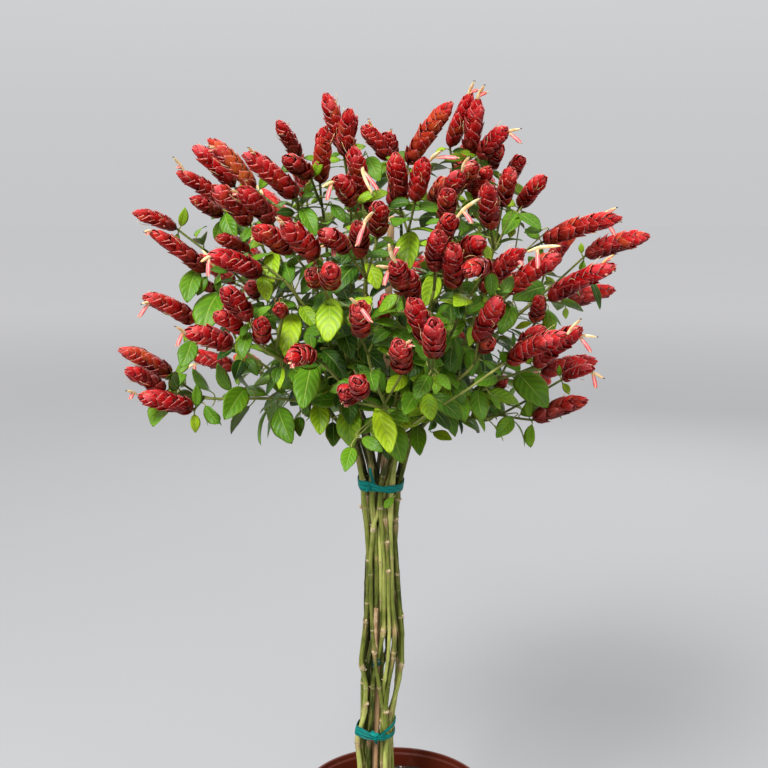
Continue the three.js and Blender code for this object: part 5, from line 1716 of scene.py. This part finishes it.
# A long green shoot that crosses the front of the crown to the lowest spikes on the right.
def make_front_shoot():
    piece = Piece()
    line = smooth_line([place(*mark) for mark in FRONT_SHOOT], 3.0)
    arc = lengths_along(line)
    swell = hump(arc[:, None], np.arange(30, arc[-1], 41), 2.6).max(1)
    add_tube(piece, line, np.linspace(1.35, 1.0, len(line)) + 0.4 * swell, 9,
             stacked(0.7, 0.5 * swell, 0), 0)
    piece.make("front_shoot", [], [STEM])


for stem in stems:
    make_stem(stem)
for thin_index, thin_line in enumerate(thin_lines):
    make_thin_cane(thin_index, thin_line)
make_low_leaf()
make_dead_shoot()
make_front_shoot()


# ---------------------------------------------------------------- stake
# The stake's middle line: upright in the soil, then leaning up into the head.
def stake_path():
    foot = at_stake(SOIL_LEVEL)
    points = np.array([vec(foot[0], foot[1], FOOT), vec(foot[0], foot[1], SOIL_TOP),
                       at_stake(STAKE["top"])])
    heights = np.arange(FOOT, STAKE["top"] + 0.1, 3.0)
    return np.stack([np.interp(heights, points[:, 2], points[:, 0]),
                     np.interp(heights, points[:, 2], points[:, 1]), heights], -1)


STAKE_PATH = stake_path()


# The bamboo swells at each node, with a scar, and is drawn in a little above it.
def make_stake():
    piece = Piece()
    heights = STAKE_PATH[:, 2]
    radii = np.full(len(heights), STAKE["radius"] * 0.95)
    scars = np.zeros(len(heights))
    for knot in np.arange(196, STAKE["top"], 118):
        radii += 0.55 * hump(heights, knot, 2.6)
        radii -= 0.30 * hump(heights - knot, 6, 3.0)
        scars = np.maximum(scars, hump(heights - knot, 1, 1.6))
    add_tube(piece, STAKE_PATH, radii, 24, stacked(scars, 0, 0))
    piece.make("stake_bamboo", ["stake"], [BAMBOO])


make_stake()


# ---------------------------------------------------------------- tape
def at_z(path, z):
    return vec(np.interp(z, path[:, 2], path[:, 0]), np.interp(z, path[:, 2], path[:, 1]), z)


def hull(points):
    points = sorted(map(tuple, points))

    def half(sequence):
        chain = []
        for p in sequence:
            while len(chain) > 1 and ((chain[-1][0] - chain[-2][0]) * (p[1] - chain[-2][1])
                                      - (chain[-1][1] - chain[-2][1]) * (p[0] - chain[-2][0])) <= 0:
                chain.pop()
            chain.append(p)
        return chain[:-1]

    return np.array(half(points) + half(points[::-1]))


# The taut outline round some canes at a height: its middle, and how far out it is at `count`
# turns from the front.
def outline(paths, radii, z, count):
    circle_turns = turns_round(20)
    circle = np.stack([np.cos(circle_turns), np.sin(circle_turns)], -1)
    circles = [at_z(path, z)[:2] + circle * radius for path, radius in zip(paths, radii)]
    ring = hull(np.concatenate(circles))
    closed = np.concatenate([ring, ring[:1]])
    middle = ring.mean(0)
    turns = np.unwrap(np.arctan2(closed[:, 1] - middle[1], closed[:, 0] - middle[0]))
    wanted = -math.pi / 2 + turns_round(count)
    wanted = turns[0] + np.mod(wanted - turns[0], 2 * math.pi)
    return middle, np.interp(wanted, turns, np.linalg.norm(closed - middle, axis=1))


TAPE_AROUND = 96
TAPE_ROWS = 13
# The ends and loops of the ties: the marks of each with a step in depth, its depth and half width.
TOP_ENDS = [([(374, 485, 0), (372, 478, -3), (370.5, 473, -4), (370, 468, -1)], -14, 1.9),
            ([(369, 484, -2), (367.5, 489, -2), (366, 492, 1)], -17, 1.5)]
LOW_ENDS = [([(371, 732, -2), (375, 735, -5), (379, 734, -2)], -15, 2.8),
            ([(374, 733, -3), (375.5, 739, -5), (376.5, 744, -2)], -15, 1.7)]
# The end of the middle tie, as steps across, down and in depth from the middle of its band.
MID_END = [(-3.5, 3, 0), (-1, -1, -3.5), (2.5, -4, -1)]


# How the tape is gathered in a row: folds that wander along the band, between about -1 and 1.
def gathering(row, around, phases):
    return (0.5 * np.sin(row * 17 + 0.9 * np.sin(around * 2 + phases[0]) + phases[1])
            + 0.35 * np.sin(row * 31 + 1.3 * np.sin(around * 3 + phases[2]) + phases[3])
            + 0.2 * np.sin(around * 11 + row * 9))


def band_faces():
    outside = np.arange(TAPE_ROWS * TAPE_AROUND).reshape(TAPE_ROWS, TAPE_AROUND)
    inside = outside + outside.size

    def seam(a, b):
        return np.stack([a, b, np.roll(b, -1), np.roll(a, -1)], -1)

    return [ring_walls(outside), ring_walls(inside)[:, ::-1],
            seam(outside[-1], inside[-1])[:, ::-1], seam(outside[0], inside[0])]


# One turn of tape, pulled tight round the canes. On the right side it can be slimmer, part from the
# tie's height by `part_by` and stand off the canes by `lift_by`.
def add_band(piece, paths, radii, tie, rng):
    rows = np.linspace(-0.5, 0.5, TAPE_ROWS)
    around = turns_round(TAPE_AROUND)
    angle = around - math.pi / 2
    right = np.clip(np.sin(around), 0, 1)
    parting = np.clip(np.sin(around - 0.15), 0, 1)
    centre_z = tie["height"] + tie["front"] * np.sin(angle) - tie["left"] * np.cos(angle)
    centre_z = centre_z + tie.get("part_by", 0) * parting ** 0.8
    narrow = 0.92 - 0.20 * np.sin(around * 2 + 1.0) - 0.10 * np.sin(around * 5 + 2.0)
    narrow = narrow * (1 - tie.get("slim", 0) * right)
    stand_off = tie.get("lift_by", 0) * (1.4 * parting ** 0.5 - 0.4)
    outer = np.empty((TAPE_ROWS, TAPE_AROUND, 3))
    inner = np.empty_like(outer)
    folds = np.empty((TAPE_ROWS, TAPE_AROUND))
    phases = rng.uniform(0, 6, 4)
    for r, row in enumerate(rows):
        gather = gathering(row, around, phases)
        folds[r] = (0.5 + 0.45 * gather) * tie.get("shade", 1)
        middle, radius = outline(paths, radii, tie["height"] + row * tie["width"], TAPE_AROUND)
        edge = 1 - abs(row * 2) ** 6
        for target, lift in ((outer, 0.5 + 0.6 * edge * (0.6 + 0.7 * gather)), (inner, 0.12)):
            reach = radius + lift + stand_off
            target[r, :, 0] = middle[0] + reach * np.cos(angle)
            target[r, :, 1] = middle[1] + reach * np.sin(angle)
            target[r, :, 2] = centre_z + row * tie["width"] * narrow
    turn = np.tile(around, TAPE_ROWS)
    grain = stacked(np.cos(turn), np.repeat(rows * 2, TAPE_AROUND), np.sin(turn))
    fold = stacked(folds.ravel(), rng.uniform(), 0)
    piece.add(np.concatenate([outer.reshape(-1, 3), inner.reshape(-1, 3)]), band_faces(),
              np.concatenate([grain, grain]), np.concatenate([fold, fold * [0.3, 1, 1]]))


# A twisted end or loop of tape through marks on the sheet, each at a step from one depth.
def add_tail(piece, marks, depth, half, rng, shade=1.0):
    line = smooth_line([place(u, v, depth + step) for u, v, step in marks], 1.2)
    parts = np.linspace(0, 1, len(line))
    width = half * (1 + 0.12 * np.sin(parts * 5 + rng.uniform(0, 6))) * (1 - 0.35 * parts ** 4)
    fold = shade * (0.5 + 0.25 * np.sin(parts * 4 + rng.uniform(0, 6)))
    add_tube(piece, line, width, 12, stacked(fold, rng.uniform(), 0), 0, squash=0.4,
             turn=rng.uniform(0, 3))


BUNDLE_PATHS = [*cane_paths.values(), STAKE_PATH]
BUNDLE_RADII = [CANE["radius"]] * len(CANES) + [thin[1] + 0.3 for thin in THIN_CANES] + [STAKE["radius"]]


def make_top_tie(rng):
    piece = Piece()
    add_band(piece, BUNDLE_PATHS, BUNDLE_RADII, {**TIES["tie_top"], "width": 10}, rng)
    for marks, depth, half in TOP_ENDS:
        add_tail(piece, marks, depth, half, rng)
    piece.make("tie_top_tape", ["tie_top"], [TAPE])


def make_low_tie(rng):
    piece = Piece()
    for band in ({"width": 9, "slim": 0.45}, {"width": 4.5, "part_by": 13, "lift_by": 0.9}):
        add_band(piece, BUNDLE_PATHS, BUNDLE_RADII, {**TIES["tie_low"], **band}, rng)
    for marks, depth, half in LOW_ENDS:
        add_tail(piece, marks, depth, half, rng)
    piece.make("tie_low_tape", ["tie_low"], [TAPE])


# The middle tie goes round one cane only, and its end crosses the front of the band.
def make_mid_tie(rng):
    piece = Piece()
    tie = {**TIES["tie_mid"], "width": 4.5, "shade": 0.1}
    cane = cane_paths["stem_2"]
    add_band(piece, [cane], [CANE["radius"] + 0.05], tie, rng)
    middle = at_z(cane, tie["height"])
    u, v = seen_at(middle)
    marks = [(u + across, v + down, step) for across, down, step in MID_END]
    add_tail(piece, marks, middle[1] - 1.5, 1.3, rng, tie["shade"])
    piece.make("tie_mid_tape", ["tie_mid"], [TAPE])


tape_rng = np.random.default_rng(41)
make_top_tie(tape_rng)
make_low_tie(tape_rng)
make_mid_tie(tape_rng)


# ---------------------------------------------------------------- pot and soil
# A profile of (radius, height) points turned round the pot's axis. It starts and ends on the axis.
def add_lathe(piece, profile, sides, mark):
    profile = np.asarray(profile, float)
    angles = turns_round(sides)
    inner = profile[1:-1]
    rings = np.stack([inner[:, None, 0] * np.cos(angles), inner[:, None, 0] * np.sin(angles),
                      np.repeat(inner[:, 1:2], sides, 1)], -1)
    points = np.concatenate([rings.reshape(-1, 3), [[0, 0, profile[0, 1]], [0, 0, profile[-1, 1]]]])
    grain = stacked(np.hypot(points[:, 0], points[:, 1]) / 10, points[:, 2] / 10, 0)
    piece.add(points, ring_faces(len(inner), sides), grain, mark)


# The radius of the pot's inside at a height.
def pot_inside(z):
    slope = (POT["rim"] - POT["lip"] - POT["base"]) / (POT["height"] - POT["lip_depth"] - POT["floor"])
    return POT["base"] - POT["wall"] + slope * (z - POT["floor"])


def round_corner(before, corner, after, radius, count=4):
    before, corner, after = map(np.array, (before, corner, after))
    start = corner + unit(before - corner) * radius
    end = corner + unit(after - corner) * radius
    return list(rounding(start, corner, end, np.linspace(0, 1, count)[:, None]))


# The pot's outline from under its floor, up the outside, over the lip and down the inside. Each
# corner has the radius that it is rounded by.
def pot_profile():
    shoulder = POT["height"] - POT["lip_depth"]
    neck = POT["rim"] - POT["lip"]
    rim, top, floor = POT["rim"], POT["height"], POT["floor"]
    corners = [((0, 0), 0), ((POT["base"], 0), 3), ((neck, shoulder), 0.8), ((rim - 1.5, shoulder), 1.2),
               ((rim, top - 1.5), 1.0), ((rim - 0.2, top), 1.0), ((neck + 1.6, top), 1.2),
               ((neck + 1.3, top - 5.5), 0.8), ((neck - 0.6, top - 6.6), 0.8),
               ((neck - 1.0, shoulder + 2), 1.5), ((pot_inside(floor), floor), 2.5), ((0, floor), 0)]
    profile = [vec(0, 0), vec(1, 0)]
    for (before, _), (corner, radius), (after, _) in zip(corners, corners[1:], corners[2:]):
        profile += round_corner(before, corner, after, radius)
    return profile + [vec(1, floor), vec(0, floor)]


def make_drain_cutter():
    cutter = Piece()
    for turn in turns_round(DRAIN["count"]):
        foot = vec(DRAIN["ring"] * math.cos(turn), DRAIN["ring"] * math.sin(turn), 0)
        bore = foot + UP * np.linspace(-2, POT["floor"] + 2, 3)[:, None]
        add_tube(cutter, bore, DRAIN["radius"], 24, (0, 0, 0))
    return cutter.make("drain_cutter", [], [POT_FINISH])


# The pot, with its drainage holes cut through the floor.
def make_pot():
    piece = Piece()
    add_lathe(piece, pot_profile(), 144, (0, 0, 0))
    pot = piece.make("pot_shell", ["pot"], [POT_FINISH])
    cutter = make_drain_cutter()
    holes = pot.modifiers.new("holes", "BOOLEAN")
    holes.operation = "DIFFERENCE"
    holes.solver = "EXACT"
    holes.object = cutter
    bpy.context.view_layer.update()
    pierced = bpy.data.meshes.new_from_object(pot.evaluated_get(bpy.context.evaluated_depsgraph_get()))
    pot.modifiers.clear()
    pot.data = pierced
    bpy.data.objects.remove(cutter)


SOIL_RINGS = 44
SOIL_SIDES = 132
SOIL_EDGE = pot_inside(SOIL_LEVEL) - GAP - 0.6


def soil_height(x, y):
    bumps = (1.2 * np.sin(x / 7.1 + 1.3 * np.sin(y / 9.3)) + 1.0 * np.sin(y / 5.7 + 1.1 * np.sin(x / 6.1))
             + 0.7 * np.sin((x + y) / 3.3) * np.sin((x - y) / 3.9))
    reach = np.hypot(x, y) / pot_inside(SOIL_LEVEL)
    return SOIL_LEVEL + SOIL_CROWN * (1 - reach ** 2) + bumps * 0.75 * (1 - reach ** 6)


# The body of the soil: one ring at the pot's floor, then rings from its edge to its middle.
def make_soil():
    piece = Piece()
    turns = turns_round(SOIL_SIDES)
    radii = SOIL_EDGE * np.linspace(0, 1, SOIL_RINGS)[1:] ** 0.85
    x, y = radii[:, None] * np.cos(turns), radii[:, None] * np.sin(turns)
    top = np.stack([x, y, soil_height(x, y)], -1)[::-1]
    low = POT["floor"] + GAP
    low_edge = pot_inside(low) - 0.8
    bottom = stacked(low_edge * np.cos(turns), low_edge * np.sin(turns), low)[None]
    rings = np.concatenate([bottom, top])
    ends = [[0, 0, low], [0, 0, float(soil_height(0.0, 0.0))]]
    piece.add(np.concatenate([rings.reshape(-1, 3), ends]), ring_faces(*rings.shape[:2]),
              (0, 0, 0), (0, 0, 0))
    piece.make("soil_bed", ["soil"], [SOIL_FINISH])


# A lump is a twenty-sided solid, stretched and turned at random.
GOLDEN = (1 + math.sqrt(5)) / 2
LUMP = np.array([(-1, GOLDEN, 0), (1, GOLDEN, 0), (-1, -GOLDEN, 0), (1, -GOLDEN, 0), (0, -1, GOLDEN),
                 (0, 1, GOLDEN), (0, -1, -GOLDEN), (0, 1, -GOLDEN), (GOLDEN, 0, -1), (GOLDEN, 0, 1),
                 (-GOLDEN, 0, -1), (-GOLDEN, 0, 1)]) / math.hypot(1, GOLDEN)
LUMP_FACES = np.array([(0, 11, 5), (0, 5, 1), (0, 1, 7), (0, 7, 10), (0, 10, 11), (1, 5, 9), (5, 11, 4),
                       (11, 10, 2), (10, 7, 6), (7, 1, 8), (3, 9, 4), (3, 4, 2), (3, 2, 6), (3, 6, 8),
                       (3, 8, 9), (4, 9, 5), (2, 4, 11), (6, 2, 10), (8, 6, 7), (9, 8, 1)])


def add_lump(piece, size, mark, rng):
    reach = SOIL_EDGE * math.sqrt(rng.uniform(0, 0.93))
    turn = rng.uniform(0, 2 * math.pi)
    x, y = reach * math.cos(turn), reach * math.sin(turn)
    spin = np.linalg.qr(rng.normal(size=(3, 3)))[0]
    if np.linalg.det(spin) < 0:
        spin[:, 0] *= -1
    shape = LUMP * rng.uniform(0.75, 1.25, (12, 1)) * size
    centre = vec(x, y, float(soil_height(x, y)) + 0.15 * min(size))
    piece.add(shape @ spin.T * [1, 1, 0.8] + centre, [LUMP_FACES], (0, 0, 0), mark)


# Crumbs, bark chips and pale grit lying in the top of the soil.
def make_crumbs():
    crumbs = Piece()
    rng = np.random.default_rng(77)
    for _ in range(1000):
        size = rng.uniform(0.8, 2.6)
        shape = np.array([size, size * rng.uniform(0.6, 1), size * rng.uniform(0.5, 0.9)])
        add_lump(crumbs, shape, (0, 0, rng.uniform()), rng)
    for _ in range(260):
        size = rng.uniform(1.6, 5.0)
        add_lump(crumbs, np.array([size, size * 0.45, size * 0.22]), (0, 1, rng.uniform()), rng)
    for _ in range(90):
        size = rng.uniform(0.6, 1.7)
        add_lump(crumbs, np.array([size, size * 0.8, size * 0.8]), (1, 0, rng.uniform()), rng)
    crumbs.make("soil_crumbs", [], [SOIL_FINISH], smooth=False)


make_pot()
make_soil()
make_crumbs()

# ---------------------------------------------------------------- floor, light and camera
# Metres from here on.
FLOOR_REACH = 60
HORIZON, ZENITH = (0.57, 0.573, 0.585), (0.99, 0.99, 1.0)


# A pale floor, painted darker near the plant, where the lamps light it most, and lighter far away, so
# that it looks evenly bright and meets the sky's horizon.
def floor_material():
    n = Nodes(bpy.data.materials.new("pale_floor"))
    away = n.add("ShaderNodeVectorMath", [(0, n.coordinates)], "Value", operation="LENGTH")
    # Painted light: the floor is lighter far from the lamps to even out their light.
    shade = n.mix(away.span(0.5, 9.0), (0.39, 0.392, 0.40), (0.62, 0.622, 0.63))
    grain = n.mix(n.noise(1.5, 2), (0.97, 0.97, 0.97), (1.0, 1.0, 1.0))
    return n.finish(n.mix(1.0, shade, grain, "MULTIPLY"), 0.9, gloss=0.0)


def make_floor():
    mesh = bpy.data.meshes.new("floor")
    corners = [(x * FLOOR_REACH, y * FLOOR_REACH, 0) for x, y in ((-1, -1), (1, -1), (1, 1), (-1, 1))]
    mesh.from_pydata(corners, [], [(0, 1, 2, 3)])
    mesh.materials.append(floor_material())
    return add_object("floor", mesh)


# The sky is brighter overhead than at the horizon, where it meets the far floor's painted tone.
def make_sky():
    world = bpy.data.worlds.new("studio")
    bpy.context.scene.world = world
    n = Nodes(world)
    _, _, height = n.split(n.add("ShaderNodeTexCoord", (), "Generated"))
    n.link(n.mix(height.span(0.0, 0.75), HORIZON, ZENITH), n.tree.nodes["Background"].inputs["Color"])


def add_light(name, at, aim, size, power):
    data = bpy.data.lights.new(name, "AREA")
    data.shape = "SQUARE"
    data.size = size
    data.energy = power
    lamp = add_object(name, data)
    lamp.location = at
    lamp.rotation_mode = "QUATERNION"
    lamp.rotation_quaternion = (Vector(aim) - Vector(at)).to_track_quat("-Z", "Y")


# The camera stands at the eye, with the marks' sheet filling its picture.
def make_camera():
    data = bpy.data.cameras.new("camera")
    data.sensor_width = 36
    data.lens = data.sensor_width * SHEET_DISTANCE / SHEET_SIDE
    data.clip_start = 0.05
    data.clip_end = FLOOR_REACH
    camera = add_object("camera", data)
    camera.location = EYE / 1000
    camera.rotation_euler = (math.pi / 2 - EYE_TILT, 0, 0)
    bpy.context.scene.camera = camera


floor = make_floor()
make_sky()
add_light("key", (-1.2, -2.1, 2.9), (0, 0, 0.65), 1.0, 135)
add_light("fill", (2.4, -2.2, 1.4), (0, 0, 0.6), 1.6, 10)
add_light("back", (0.8, 2.6, 2.0), (0, 0, 0.7), 1.4, 24)
make_camera()
bpy.context.scene.view_settings.view_transform = "Standard"
